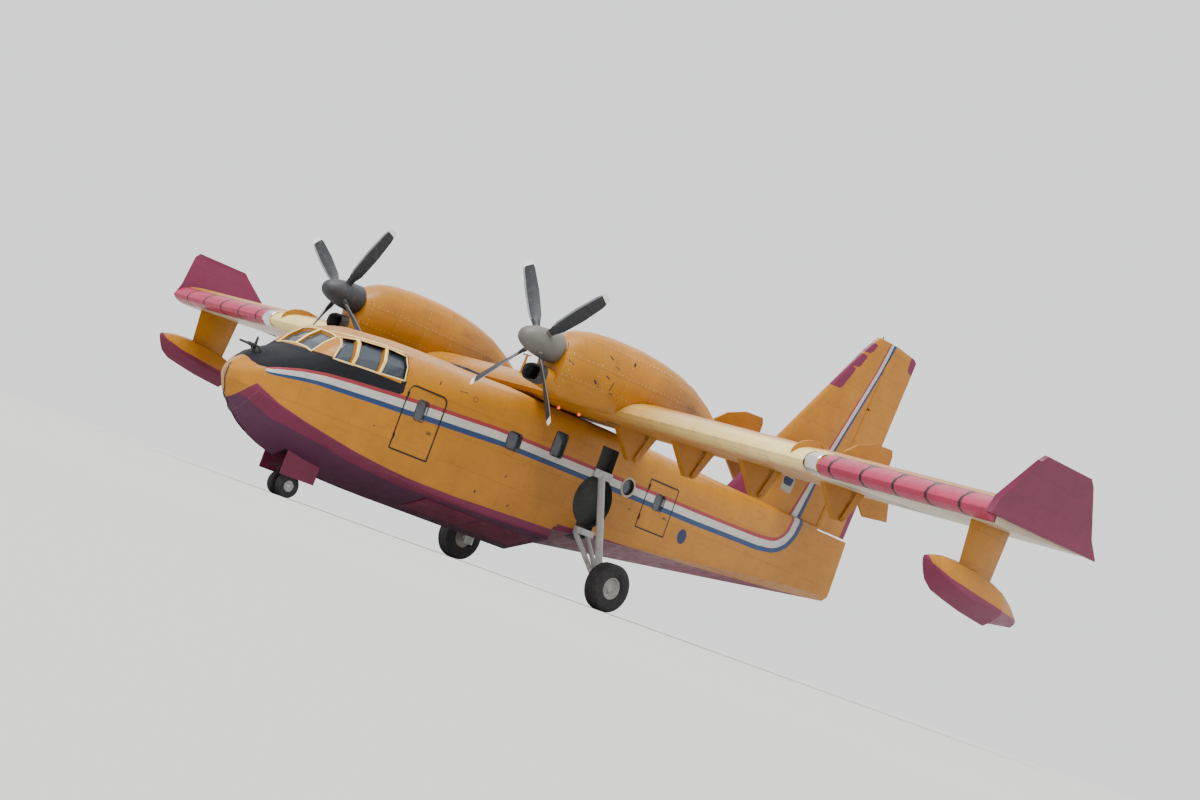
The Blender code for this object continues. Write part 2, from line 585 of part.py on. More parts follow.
def rear_outline(hinge, radius, height, drop=0.0):
    """The section aft of a hinge line, with a round nose about it."""
    steps = 5
    points = []
    for k in range(steps + 1):
        turn = math.radians(90 + 180 * k / steps)
        points.append((hinge + radius * math.cos(turn), height + radius * math.sin(turn)))
    stations = [hinge + (WING_LE + CHORD - 0.004 - hinge) * k / 4 for k in range(1, 5)]
    low = [(s, wing_surface(s, False) + drop) for s in stations]
    high = [(s, wing_surface(s, True) - 0.002) for s in reversed(stations)]
    high[0] = (high[0][0], max(high[0][1], low[-1][1] + 0.012))
    return points + low + high


PLATE_RINGS = ((WING_Z - 0.04, 6.86, 10.42, WING_HALF, 0.10), (WING_Z + 0.30, 6.99, 10.10, WING_HALF, 0.10),
               (5.20, 7.33, 9.17, 14.245, 0.06), (5.33, 7.46, 9.02, TIP_HALF - 0.045, 0.045))
STRUT_LOW = 2.86
FLOAT_KEEL = ((6.50, 2.82), (6.62, 2.60), (7.3, 2.32), (7.9, 2.22), (8.75, 2.14))
FLOAT_AFT_KEEL = ((8.75, 2.20), (9.56, 2.31))
FLOAT_CHINE = ((6.50, 2.87), (7.1, 2.62), (7.9, 2.48), (8.75, 2.42), (9.56, 2.40))
FLOAT_TOP = ((6.50, 2.93), (6.8, 3.02), (7.6, 3.06), (8.5, 2.94), (9.2, 2.70), (9.56, 2.50))
FLOAT_HALF = ((6.50, 0.03), (6.7, 0.16), (7.1, 0.28), (7.8, 0.34), (8.75, 0.31), (9.56, 0.07))


def strut_ring(x, z, top, grow=0.0):
    """The float strut's streamlined section at a height."""
    share = (z - STRUT_LOW) / (top - STRUT_LOW)
    front, back, half = 7.50 - 0.10 * share - grow, 8.53 + 0.11 * share + grow, 0.075 + 0.010 * share + grow
    middle = (front + back) / 2
    port = [(0, front), (half, front + 0.25), (half * 0.9 + grow, middle), (half * 0.6 + grow, back - 0.25),
            (0, back)]
    return [(x + a, s, z) for a, s in port] + [(x - a, s, z) for a, s in reversed(port[1:-1])]


flap_hinge_in = FLAP_NOSE + 0.19
flap_middle = (wing_surface(flap_hinge_in, True) + wing_surface(flap_hinge_in, False)) / 2
flap_round = (wing_surface(flap_hinge_in, True) - wing_surface(flap_hinge_in, False)) / 2 - 0.004
flap_outline = rear_outline(flap_hinge_in, flap_round, flap_middle)
aileron_outline = rear_outline(AILERON_HINGE, AILERON_ROUND, HINGE_Z)
pivot_s, pivot_z = FLAP_PIVOT
FLAP_PIN, SURFACE_PIN = 0.018, 0.015
for side, word in ((1, "left"), (-1, "right")):
    flap_room = span(side, FLAP_IN - 0.01, FLAP_OUT + 0.01)
    aileron_room = span(side, AILERON_IN - 0.01, AILERON_OUT + 0.01)
    cut(wing, box(f"flap_room_{word}", (flap_room[0], FLAP_CUT, 3.0), (flap_room[1], 11.0, 4.8), cutter=True))
    cut(wing, box(f"aileron_room_{word}", (aileron_room[0], AILERON_CUT, 3.0), (aileron_room[1], 11.0, 4.8),
                  cutter=True))
    flap = prism(f"flap_{word}", flap_outline, "x", *span(side, FLAP_IN, FLAP_OUT), yellow(f"flap_{word}_paint"))
    for number, x in enumerate(BRACKETS):
        bracket = [(8.40, wing_surface(8.40, False) + 0.03), (9.32, wing_surface(9.32, False) + 0.03),
                   (9.32, 3.60), (pivot_s + 0.07, pivot_z + 0.03), (pivot_s + 0.03, pivot_z - 0.05),
                   (pivot_s - 0.18, pivot_z - 0.07)]
        bracket_span = span(side, x - BRACKET_HALF, x + BRACKET_HALF)
        join(wing, prism(f"bracket_{word}_{number}", bracket, "x", *bracket_span, cutter=True))
        arm = [(pivot_s - 0.06, pivot_z), (pivot_s + 0.01, pivot_z - 0.06), (pivot_s + 0.09, pivot_z),
               (9.66, wing_surface(9.66, False) + 0.02), (9.42, wing_surface(9.42, False) + 0.03)]
        for offset, mark in ((-BRACKET_HALF - 0.01 - ARM_THICK, "a"), (BRACKET_HALF + 0.01, "b")):
            arm_span = span(side, x + offset, x + offset + ARM_THICK)
            join(flap, prism(f"arm_{word}_{number}{mark}", arm, "x", *arm_span, cutter=True))
        hinge_pin(wing, flap, f"flap_{word}_{number}", (side * x - 0.13, pivot_s, pivot_z),
                  (side * x + 0.13, pivot_s, pivot_z), FLAP_PIN)
    put_origin(flap, (0, pivot_s, pivot_z))
    aileron = prism(f"aileron_{word}", aileron_outline, "x", *span(side, AILERON_IN, AILERON_OUT),
                    yellow(f"aileron_{word}_paint"))
    for number, (low, high) in enumerate(((FLAP_OUT + 0.012, AILERON_IN + 0.12),
                                          (AILERON_OUT - 0.12, AILERON_OUT + 0.04))):
        hinge_pin(wing, aileron, f"aileron_{word}_{number}", (side * low, AILERON_HINGE, HINGE_Z),
                  (side * high, AILERON_HINGE, HINGE_Z), SURFACE_PIN)
    put_origin(aileron, (0, AILERON_HINGE, HINGE_Z))
    # The tip plate stands on the wing's end and leans outboard.
    plate = []
    for z, front, back, inner, thick in PLATE_RINGS:
        low, high = side * (inner + GAP), side * (inner + thick)
        plate.append([(low, front, z), (high, front + 0.06, z), (high, back - 0.06, z), (low, back, z)])
    loft(f"tip_plate_{word}", plate, plum(f"tip_plate_{word}_paint"))
    # The stabilising float hangs on one broad strut.
    float_x = side * FLOAT_X
    strut_high = wing_surface(7.9, False) + 0.10
    rings = [strut_ring(float_x, STRUT_LOW, strut_high), strut_ring(float_x, strut_high, strut_high)]
    strut = loft(f"float_strut_{word}", rings, yellow(f"float_strut_{word}_paint"))
    cut(strut, prism(f"strut_seat_{word}", section(WING_LE, CHORD, WING_Z, grow=GAP), "x",
                     *span(side, FLOAT_X - 0.5, FLOAT_X + 0.5), cutter=True))
    rings = []
    for s in (6.50, 6.56, 6.7, 6.95, 7.35, 7.9, 8.4, 8.75, 8.76, 9.2, 9.56):
        keel = at(FLOAT_KEEL, s) if s <= 8.75 else at(FLOAT_AFT_KEEL, s)
        half, chine, crown = at(FLOAT_HALF, s), at(FLOAT_CHINE, s), at(FLOAT_TOP, s)
        side_points = [(half * 0.5, keel + (chine - keel) * 0.42), (half, chine),
                       (half * 0.94, chine + (crown - chine) * 0.5), (half * 0.6, chine + (crown - chine) * 0.9)]
        ring = [(0, keel), *side_points, (0, crown)] + [(-x, z) for x, z in reversed(side_points)]
        rings.append([(float_x + x, s, z) for x, z in ring])
    tip_float = loft(f"float_{word}", rings, plum(f"float_{word}_paint"))
    socket = [strut_ring(float_x, z, strut_high, 0.003) for z in (STRUT_LOW - GAP, STRUT_LOW + 0.4)]
    cut(tip_float, loft(f"float_socket_{word}", socket, cutter=True))

# Engine nacelles: tall fairings over the wing with a chin intake, the engine inside as one solid.
NACELLE_TOP = ((4.98, 5.02), (5.33, 5.25), (6.2, 5.43), (7.1, 5.47), (8.1, 5.39), (8.9, 5.24), (9.6, 4.97),
               (10.1, 4.70), (10.4, 4.48))
NACELLE_BOTTOM = ((4.98, 3.92), (5.3, 3.84), (6.2, 3.88), (7.2, 3.96), (9.0, 4.00), (9.8, 4.10),
                  (10.4, 4.30))
NACELLE_HALF = ((4.98, 0.40), (5.4, 0.50), (6.5, 0.58), (7.8, 0.56), (9.0, 0.40), (9.8, 0.22),
                (10.4, 0.06))
BLADE_COUNT = 4
FLAP_TOP_REACH = pivot_z + math.hypot(pivot_s - FLAP_CUT, wing_surface(FLAP_CUT, True) - pivot_z) + CLEAR


def nacelle_ring(x, s):
    top, bottom, half = at(NACELLE_TOP, s), at(NACELLE_BOTTOM, s), at(NACELLE_HALF, s)
    shape = ((0, 0), (0.50, 0.03), (0.80, 0.16), (0.95, 0.36), (1.0, 0.55), (0.92, 0.76), (0.66, 0.92),
             (0.34, 0.985))
    right = [(half * a, bottom + (top - bottom) * b) for a, b in shape]
    ring = right + [(0, top)] + [(-a, b) for a, b in reversed(right[1:])]
    return [(x + a, s, b) for a, b in ring]


def blade_points(radius, chord, thick, pitch, x, phase):
    """A propeller blade's section at one radius: a thin lens, turned by its pitch."""
    points = []
    for a, b in ((-0.5, 0.0), (-0.25, 0.42), (0.15, 0.5), (0.5, 0.0), (0.15, -0.4), (-0.25, -0.35)):
        across, deep = a * chord, b * thick
        turned = (across * math.cos(pitch) - deep * math.sin(pitch),
                  across * math.sin(pitch) + deep * math.cos(pitch))
        points.append((
            x + radius * math.sin(phase) + turned[0] * math.cos(phase),
            PROP_STATION + turned[1],
            PROP_Z + radius * math.cos(phase) - turned[0] * math.sin(phase),
        ))
    return points


for side, word in ((1, "left"), (-1, "right")):
    x = side * ENGINE_X
    rings = [nacelle_ring(x, s) for s in (4.98, 5.15, 5.4, 5.8, 6.4, 7.1, 7.8, 8.4, 9.0, 9.6, 10.1, 10.4)]
    nacelle = loft(f"nacelle_{word}", rings, yellow(f"nacelle_{word}_paint"))
    cut(nacelle, prism(f"nacelle_seat_{word}", section(WING_LE, CHORD, WING_Z, grow=GAP), "x", x - 1, x + 1,
                       cutter=True))
    # Its tail passes over the flap, clear of the flap's path.
    low, high = (x - 1, FLAP_CUT - 0.03, 3.5), (x + 1, 11.0, FLAP_TOP_REACH)
    cut(nacelle, box(f"flap_pass_{word}", low, high, cutter=True))
    intake = rod(f"intake_{word}", (x, 4.6, 4.06), (x, 5.55, 4.10), 0.15, cutter=True, sides=20)
    intake.scale.x = 1.7
    intake.location.x = -0.7 * x
    cut(nacelle, intake)
    # The spinner is a turned shape; its profile runs from its base rim to its tip.
    steps = 9
    back, tip = 4.955, 3.97
    profile = [(0.02, back)]
    for k in range(steps + 1):
        turn = math.pi / 2 * k / steps
        reach = 0.33 * math.cos(turn) ** 0.75 if k < steps else 0.0
        profile.append((reach, back - (back - tip) * math.sin(turn)))
    profile[0] = (0.0, back)
    bm = bmesh.new()
    line = [bm.verts.new((x + r, along(s), PROP_Z)) for r, s in profile]
    edges = [bm.edges.new(pair) for pair in zip(line, line[1:])]
    bmesh.ops.spin(bm, geom=line + edges, cent=(x, 0, PROP_Z), axis=(0, 1, 0), angle=2 * math.pi, steps=24,
                   use_merge=True)
    bmesh.ops.remove_doubles(bm, verts=bm.verts, dist=1e-5)
    propeller = place(f"propeller_{word}", meshed(f"propeller_{word}", bm),
                      material(f"propeller_{word}_paint", GREY if side == 1 else BLACK, 0.4))
    phase = PROP_PHASE[0 if side == 1 else 1]
    for number in range(BLADE_COUNT):
        angle = phase + number * 2 * math.pi / BLADE_COUNT
        stations = ((0.10, 0.14, 0.12, 62), (0.42, 0.17, 0.11, 55), (0.62, 0.27, 0.06, 46),
                    (1.2, 0.31, 0.035, 33),
                    (1.75, 0.27, 0.022, 25), (PROP_RADIUS, 0.16, 0.012, 22))
        blade_rings = [blade_points(r, c, t, math.radians(p), x, angle) for r, c, t, p in stations]
        join(propeller, loft(f"blade_{word}_{number}", blade_rings, cutter=True))
    put_origin(propeller, (x, PROP_STATION, PROP_Z))
    # The propeller turns on the engine's shaft.
    join(nacelle, rod(f"shaft_{word}", (x, back + GAP, PROP_Z), (x, 5.2, PROP_Z), 0.10, cutter=True))


# The cross tail. The fin's root goes down into a slot in the hull's top.
FIN_ROOT = 3.55
FIN_LE = ((FIN_ROOT, 14.48), (3.94, 14.73), (8.47, 17.75), (FIN_TOP, 18.12))


def hinge_station(z):
    return HINGE_FOOT + (HINGE_HEAD - HINGE_FOOT) * (z - RUDDER_FOOT) / (FIN_TOP - RUDDER_FOOT)


def trailing_station(z):
    """The rudder's trailing edge, from the stern post's head to the top."""
    return STERN + (LENGTH - STERN) * (z - RUDDER_FOOT) / (RUDDER_TOE - RUDDER_FOOT)


def fin_half(z):
    """The fin's greatest half thickness."""
    return 0.20 + (0.09 - 0.20) * (z - RUDDER_FOOT) / (FIN_TOP - RUDDER_FOOT)


RUDDER_ROUND_SHARE = 0.62
RUDDER_ARM_Z = 7.1


def fin_ring(z, grow=0.0):
    front = float(np.interp(z, *zip(*FIN_LE))) - grow
    half = fin_half(z)
    nose = half * RUDDER_ROUND_SHARE
    back = hinge_station(z) - nose - CLEAR + grow
    span = back - front
    shape = ((0.0, 0.0), (0.05, 0.52), (0.22, 0.88), (0.5, 1.0), (1.0, RUDDER_ROUND_SHARE + 0.05))
    port = [(half * b + (grow if b else 0), front + span * a, z) for a, b in shape]
    return port + [(-x, s, z) for x, s, z in reversed(port[1:])]


fin = loft("fin", [fin_ring(z) for z in (FIN_ROOT, 3.94, 5.2, 6.8, 8.47, FIN_TOP)], yellow("fin_paint"))
fin_slot = loft("fin_slot", [fin_ring(z, 0.0006) for z in (FIN_ROOT - GAP, 3.94, 4.6)], cutter=True)
cut(hull, fin_slot)
# Above the stern the hull stops below the rudder's foot.
cut(hull, box("rudder_room", (-0.6, HINGE_FOOT - 0.16, RUDDER_FOOT - 0.06), (0.6, 20.2, 4.5), cutter=True))


def rudder_ring(z, end):
    hinge, radius = hinge_station(z), fin_half(z) * RUDDER_ROUND_SHARE
    port = []
    for k in range(4):
        turn = math.radians(180 - 30 * k)
        port.append((radius * math.sin(turn), hinge + radius * math.cos(turn), z))
    port += [(radius * 0.98, hinge + 0.05, z), (0.012, end, z)]
    return port + [(-x, s, z) for x, s, z in reversed(port[1:])]


rudder_ends = [(z, trailing_station(z)) for z in (RUDDER_FOOT, 5.2, 7.0, 8.5, RUDDER_TOE)]
rudder_ends += [(8.82, LENGTH - 0.10), (FIN_TOP, 19.06)]
rudder = loft("rudder", [rudder_ring(*pair) for pair in rudder_ends], yellow("rudder_paint"))
# It turns on a pin in the stern's top and on an arm that reaches back from the fin.
hinge_pin(hull, rudder, "rudder_foot", (0, hinge_station(RUDDER_FOOT - 0.10), RUDDER_FOOT - 0.10),
          (0, hinge_station(RUDDER_FOOT + 0.12), RUDDER_FOOT + 0.12), SURFACE_PIN)
arm_s = hinge_station(RUDDER_ARM_Z)
cut(rudder, box("rudder_arm_room", (-0.4, arm_s - 0.4, RUDDER_ARM_Z - 0.03),
                (0.4, arm_s + 0.035, RUDDER_ARM_Z + 0.03), cutter=True))
join(fin, box("rudder_arm", (-0.022, arm_s - 0.2, RUDDER_ARM_Z - 0.02),
              (0.022, arm_s + 0.022, RUDDER_ARM_Z + 0.02), cutter=True))
hinge_pin(fin, rudder, "rudder_arm", (0, hinge_station(RUDDER_ARM_Z - 0.1), RUDDER_ARM_Z - 0.1),
          (0, hinge_station(RUDDER_ARM_Z + 0.1), RUDDER_ARM_Z + 0.1), SURFACE_PIN)
put_origin(rudder, (0, HINGE_FOOT, RUDDER_FOOT))
join(fin, rod("fin_antenna", (0, 18.3, FIN_TOP - 0.03), (0, 18.3, HEIGHT), 0.02, cutter=True, sides=10))

# Tailplane: one straight piece through the fin, with swept-back tips.
TAIL_THICK = 0.11


def tail_section(le, chord, grow=0.0, end=1.0):
    return section(le, chord, TAIL_Z, count=7, grow=grow, thickness=TAIL_THICK, camber=False, end=end)


TAIL_CHORD = TAIL_TE - TAIL_LE


def tail_surface_half(station):
    _, half = camber_and_half((station - TAIL_LE) / TAIL_CHORD)
    return half * TAIL_THICK / THICKNESS * TAIL_CHORD


ELEVATOR_ROUND = tail_surface_half(ELEVATOR_HINGE) - 0.003
ELEVATOR_CUT = ELEVATOR_HINGE - ELEVATOR_ROUND - CLEAR
TAIL_STRAIGHT = 4.46    # half span where the tips begin
ELEVATOR_IN, ELEVATOR_OUT = 0.42, 4.36
tailplane = prism("tailplane", tail_section(TAIL_LE, TAIL_CHORD), "x", -TAIL_STRAIGHT, TAIL_STRAIGHT,
                  yellow("tailplane_paint"))
cut(fin, prism("tail_slot", tail_section(TAIL_LE, TAIL_CHORD, grow=0.0006), "x", -1, 1, cutter=True))
for side, word in ((1, "left"), (-1, "right")):
    tip_rings = []
    for x, le, te in ((TAIL_STRAIGHT - 0.04, TAIL_LE + 0.002, TAIL_TE - 0.01), (4.80, 16.10, 18.53),
                      (5.10, 16.56, 18.56), (5.30, 17.15, 18.58), (5.43, 17.85, 18.59),
                      (TAIL_HALF, 18.32, 18.59)):
        tip_rings.append([(side * x, s, z) for s, z in tail_section(le, te - le)])
    join(tailplane, loft(f"tail_tip_{word}", tip_rings, cutter=True))
    room = sorted((side * (ELEVATOR_IN - 0.01), side * (ELEVATOR_OUT + 0.01)))
    cut(tailplane, box(f"elevator_room_{word}", (room[0], ELEVATOR_CUT, 5.0), (room[1], 18.8, 5.8), cutter=True))
    steps = 4
    outline = []
    for k in range(steps + 1):
        turn = math.radians(90 + 180 * k / steps)
        outline.append((ELEVATOR_HINGE + ELEVATOR_ROUND * math.cos(turn),
                        TAIL_Z + ELEVATOR_ROUND * math.sin(turn)))
    outline += [(TAIL_TE - 0.006, TAIL_Z - 0.006), (TAIL_TE - 0.006, TAIL_Z + 0.006)]
    ends = sorted((side * ELEVATOR_IN, side * ELEVATOR_OUT))
    elevator = prism(f"elevator_{word}", outline, "x", *ends, yellow(f"elevator_{word}_paint"))
    for number, (low, high) in enumerate(((ELEVATOR_IN - 0.05, ELEVATOR_IN + 0.10),
                                          (ELEVATOR_OUT - 0.10, ELEVATOR_OUT + 0.05))):
        hinge_pin(tailplane, elevator, f"elevator_{word}_{number}", (side * low, ELEVATOR_HINGE, TAIL_Z),
                  (side * high, ELEVATOR_HINGE, TAIL_Z), SURFACE_PIN)
    put_origin(elevator, (0, ELEVATOR_HINGE, TAIL_Z))
    # A finlet straddles the tailplane on each side, ahead of the elevator.
    outline = [(15.80, 5.56), (16.18, 5.84), (16.8, 6.05), (17.42, 6.08), (17.50, 5.95), (17.50, 5.10),
               (17.86, 5.06), (18.10, 4.40), (17.20, 4.29), (15.80, 5.38)]
    finlet = prism(f"finlet_{word}", outline, "x", *sorted((side * (FINLET_X - 0.03), side * (FINLET_X + 0.03))),
                   yellow(f"finlet_{word}_paint"))
    cut(finlet, prism(f"finlet_slot_{word}", tail_section(TAIL_LE, TAIL_CHORD, grow=GAP), "x",
                      *sorted((side * (FINLET_X - 0.3), side * (FINLET_X + 0.3))), cutter=True))

# The rudder is cut away round the tailplane's middle, which carries no elevator there.
cut(tailplane, box("rudder_swing", (-0.40, 17.75, 5.0), (0.40, 19.0, 5.8), cutter=True))


# Landing gear, extended. The main wheels stand out from the hull's sides on arms and shock legs.
def wheel(name, centre_x, station, radius, width, hub_share, axle, sides):
    """A tyre and rim as one turned shape, wheel axis along x, with a round bore for its axle."""
    bore = bore_radius(axle, sides)
    half = width / 2
    hub = radius * hub_share
    rim = ((bore, -half * 0.55), (hub * 0.9, -half * 0.55), (hub, -half * 0.8), (radius * 0.80, -half),
           (radius * 0.93, -half * 0.86), (radius, -half * 0.45), (radius, half * 0.45),
           (radius * 0.93, half * 0.86), (radius * 0.80, half), (hub, half * 0.8), (hub * 0.9, half * 0.55),
           (bore, half * 0.55))
    bm = bmesh.new()
    line = [bm.verts.new((a, 0, r)) for r, a in rim]
    edges = [bm.edges.new(pair) for pair in zip(line, line[1:] + line[:1])]
    bmesh.ops.spin(bm, geom=line + edges, cent=(0, 0, 0), axis=(1, 0, 0), angle=2 * math.pi, steps=sides,
                   use_merge=True)
    bmesh.ops.remove_doubles(bm, verts=bm.verts, dist=1e-5)
    obj = place(name, meshed(name, bm), material(f"{name}_rubber", BLACK, 0.85))
    obj.location = (centre_x, along(station), radius)
    return obj


AXLE_MAIN, AXLE_NOSE = 0.055, 0.032
ARM_X = TRACK_HALF - MAIN_WIDTH / 2 - 0.16
for side, word in ((1, "left"), (-1, "right")):
    wheel(f"main_wheel_{word}", side * TRACK_HALF, MAIN_STATION, MAIN_RADIUS, MAIN_WIDTH, 0.42, AXLE_MAIN, 32)
    leg = rod(f"main_leg_{word}", (side * ARM_X, MAIN_STATION, MAIN_RADIUS - 0.12),
              (side * ARM_X, MAIN_STATION, MAIN_RADIUS + 0.30), 0.11,
              material(f"main_leg_{word}_steel", GREY, 0.45))
    pieces = [
        rod(f"axle_{word}", (side * (ARM_X - 0.05), MAIN_STATION, MAIN_RADIUS),
            (side * (TRACK_HALF + MAIN_WIDTH * 0.32), MAIN_STATION, MAIN_RADIUS), AXLE_MAIN, cutter=True),
        rod(f"shock_{word}", (side * ARM_X, MAIN_STATION, MAIN_RADIUS + 0.10),
            (side * (SLOT_FLOOR + 0.16), MAIN_STATION, SLOT_TOP - 0.62), 0.085, cutter=True),
        rod(f"arm_fore_{word}", (side * ARM_X, MAIN_STATION - 0.03, MAIN_RADIUS),
            (side * (SLOT_FLOOR + 0.12), MAIN_STATION - 0.20, 1.52), 0.06, cutter=True, sides=12),
        rod(f"arm_aft_{word}", (side * ARM_X, MAIN_STATION + 0.035, MAIN_RADIUS + 0.017),
            (side * (SLOT_FLOOR + 0.13), MAIN_STATION + 0.20, 1.53), 0.055, cutter=True, sides=14),
        box(f"leg_foot_{word}", (min(side * (SLOT_FLOOR + GAP), side * (SLOT_FLOOR + 0.30)),
                                 MAIN_STATION - SLOT_HALF + GAP, 1.46),
            (max(side * (SLOT_FLOOR + GAP), side * (SLOT_FLOOR + 0.30)),
             MAIN_STATION + SLOT_HALF - GAP, 1.60), cutter=True),
        box(f"leg_head_{word}", (min(side * (SLOT_FLOOR + GAP), side * (SLOT_FLOOR + 0.24)),
                                 MAIN_STATION - SLOT_HALF + GAP, SLOT_TOP - 0.72),
            (max(side * (SLOT_FLOOR + GAP), side * (SLOT_FLOOR + 0.24)),
             MAIN_STATION + SLOT_HALF - GAP, SLOT_TOP - 0.54), cutter=True),
    ]
    join(leg, *pieces)

# The nose leg: a fixed post in its bay, and a fork that steers and carries two wheels as one body.
post_low = 0.92
post = rod("nose_post", (0, NOSE_STATION, post_low), (0, NOSE_STATION, BAY_ROOF - GAP), 0.075,
           material("nose_post_steel", GREY, 0.45))
join(post, rod("drag_brace", (0, NOSE_STATION, 1.25), (0, BAY_BACK - 0.10, BAY_ROOF - 0.10), 0.035, cutter=True,
               sides=12))
join(post, box("brace_foot", (-0.12, BAY_BACK - 0.16, BAY_ROOF - 0.16), (0.12, BAY_BACK - GAP, BAY_ROOF - GAP),
               cutter=True))
fork = rod("nose_fork", (0, NOSE_STATION, NOSE_RADIUS - 0.07), (0, NOSE_STATION, post_low - CLEAR), 0.06,
           material("nose_fork_steel", STEEL, 0.35, 0.6))
door_trim = hull_outer("door_trim", cutter=True)
door_trim.location.z = -GAP
axle_half = NOSE_SPACING + NOSE_WIDTH * 0.32
join(fork, rod("nose_axle", (-axle_half, NOSE_STATION, NOSE_RADIUS), (axle_half, NOSE_STATION, NOSE_RADIUS),
               AXLE_NOSE, cutter=True))
hinge_pin(fork, post, "steer", (0, NOSE_STATION, post_low - 0.05), (0, NOSE_STATION, post_low + 0.16), 0.035, 24)
put_origin(fork, (0, NOSE_STATION, NOSE_RADIUS))
for side, word in ((1, "left"), (-1, "right")):
    wheel(f"nose_wheel_{word}", side * NOSE_SPACING, NOSE_STATION, NOSE_RADIUS, NOSE_WIDTH, 0.45, AXLE_NOSE, 24)
    x0, x1 = sorted((side * (BAY_HALF + 0.012), side * (BAY_HALF + 0.037)))
    back, front = BAY_BACK - 0.06, BAY_FRONT + 0.06
    outline = [(back, 0.43), (front, 0.43), (front, 1.15), (back, 1.15)]
    bay_door = prism(f"nose_bay_door_{word}", outline, "x", x0, x1, plum(f"nose_bay_door_{word}_paint"))
    cut(bay_door, door_trim)
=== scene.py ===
import math

import bmesh
import bpy
import numpy as np
from mathutils import Matrix, Vector
from mathutils.bvhtree import BVHTree


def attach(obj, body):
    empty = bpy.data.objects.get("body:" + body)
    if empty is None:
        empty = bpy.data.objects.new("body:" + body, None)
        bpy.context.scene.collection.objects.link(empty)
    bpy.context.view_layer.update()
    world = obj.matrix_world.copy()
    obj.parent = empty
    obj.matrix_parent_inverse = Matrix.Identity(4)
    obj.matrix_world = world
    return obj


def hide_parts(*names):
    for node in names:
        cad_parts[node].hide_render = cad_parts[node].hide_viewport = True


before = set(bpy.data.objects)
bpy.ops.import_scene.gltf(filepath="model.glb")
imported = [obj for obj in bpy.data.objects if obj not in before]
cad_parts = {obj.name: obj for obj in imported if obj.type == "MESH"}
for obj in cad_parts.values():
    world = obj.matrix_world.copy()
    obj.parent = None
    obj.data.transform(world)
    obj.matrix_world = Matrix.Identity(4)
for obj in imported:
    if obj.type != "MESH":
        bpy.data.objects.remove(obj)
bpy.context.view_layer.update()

# The studio: a pale floor that runs out of sight under soft light from overhead. The camera
# stands at floor level off the port bow, turned and tilted as the photograph's was.


def tint(code):
    """An sRGB hex colour as the linear colour that a shader takes."""
    parts = [int(code[i:i + 2], 16) / 255 for i in (1, 3, 5)]
    return (*[c / 12.92 if c <= 0.04045 else ((c + 0.055) / 1.055) ** 2.4 for c in parts], 1.0)


def add(tree, kind, feeds=None, give=0, **settings):
    """Adds one node, a shader's unless its kind says otherwise, and gives one of its outputs.
    Each feed is a socket's name or number with a value or another node's output."""
    node = tree.nodes.new(kind if "Node" in kind else f"ShaderNode{kind}")
    for key, value in settings.items():
        setattr(node, key, value)
    for socket, value in (feeds or {}).items():
        if isinstance(value, bpy.types.NodeSocket):
            tree.links.new(value, node.inputs[socket])
        else:
            node.inputs[socket].default_value = value
    return node.outputs if give is None else node.outputs[give] if node.outputs else node


def finish_named(name):
    """A material with its tree, its shader and its object's coordinates, ready for nodes."""
    made = bpy.data.materials.new(name)
    made.use_nodes = True
    tree = made.node_tree
    return made, tree, tree.nodes["Principled BSDF"], add(tree, "TexCoord", give="Object")


def shown(name, mesh, *finishes):
    """Puts a finished mesh into the scene at the origin."""
    piece = bpy.data.objects.new(name, mesh)
    bpy.context.scene.collection.objects.link(piece)
    for each in finishes:
        mesh.materials.append(each)
    return piece


floor_half = 900  # metres, so that its far edge falls on the horizon
bm = bmesh.new()
bmesh.ops.create_grid(bm, x_segments=8, y_segments=8, size=floor_half)
floor_mesh = bpy.data.meshes.new("studio_floor")
bm.to_mesh(floor_mesh)
bm.free()
# Matt painted concrete: pale, with a faint mottle that only breaks up the tone.
floor_paint, tree, shader, where = finish_named("matt_painted_concrete")
mottle = add(tree, "TexNoise", {"Vector": where, "Scale": 0.35, "Detail": 4})
tone = add(tree, "Mix", {0: mottle, 6: tint("#b9b8b4"), 7: tint("#bebdba")}, give=2, data_type="RGBA")
tree.links.new(tone, shader.inputs["Base Color"])
shader.inputs["Roughness"].default_value = 0.95
shader.inputs["Specular IOR Level"].default_value = 0.0
shown("studio_floor", floor_mesh, floor_paint)

sky = bpy.data.worlds.new("studio_light")
sky.use_nodes = True
sky.node_tree.nodes["Background"].inputs["Color"].default_value = tint("#f7f8fa")
sky.node_tree.nodes["Background"].inputs["Strength"].default_value = 1.45
bpy.context.scene.world = sky
for lamp_name, place_at, spread, power in (("key_light", (12, -16, 52), 34, 4.8),
                                           ("top_light", (-24, 16, 40), 60, 0.5)):
    lamp = bpy.data.lights.new(lamp_name, "SUN")
    lamp.angle, lamp.energy = math.radians(spread), power
    held = bpy.data.objects.new(lamp_name, lamp)
    held.location = place_at
    held.rotation_euler = (-Vector(place_at)).to_track_quat("-Z", "Y").to_euler()
    bpy.context.scene.collection.objects.link(held)

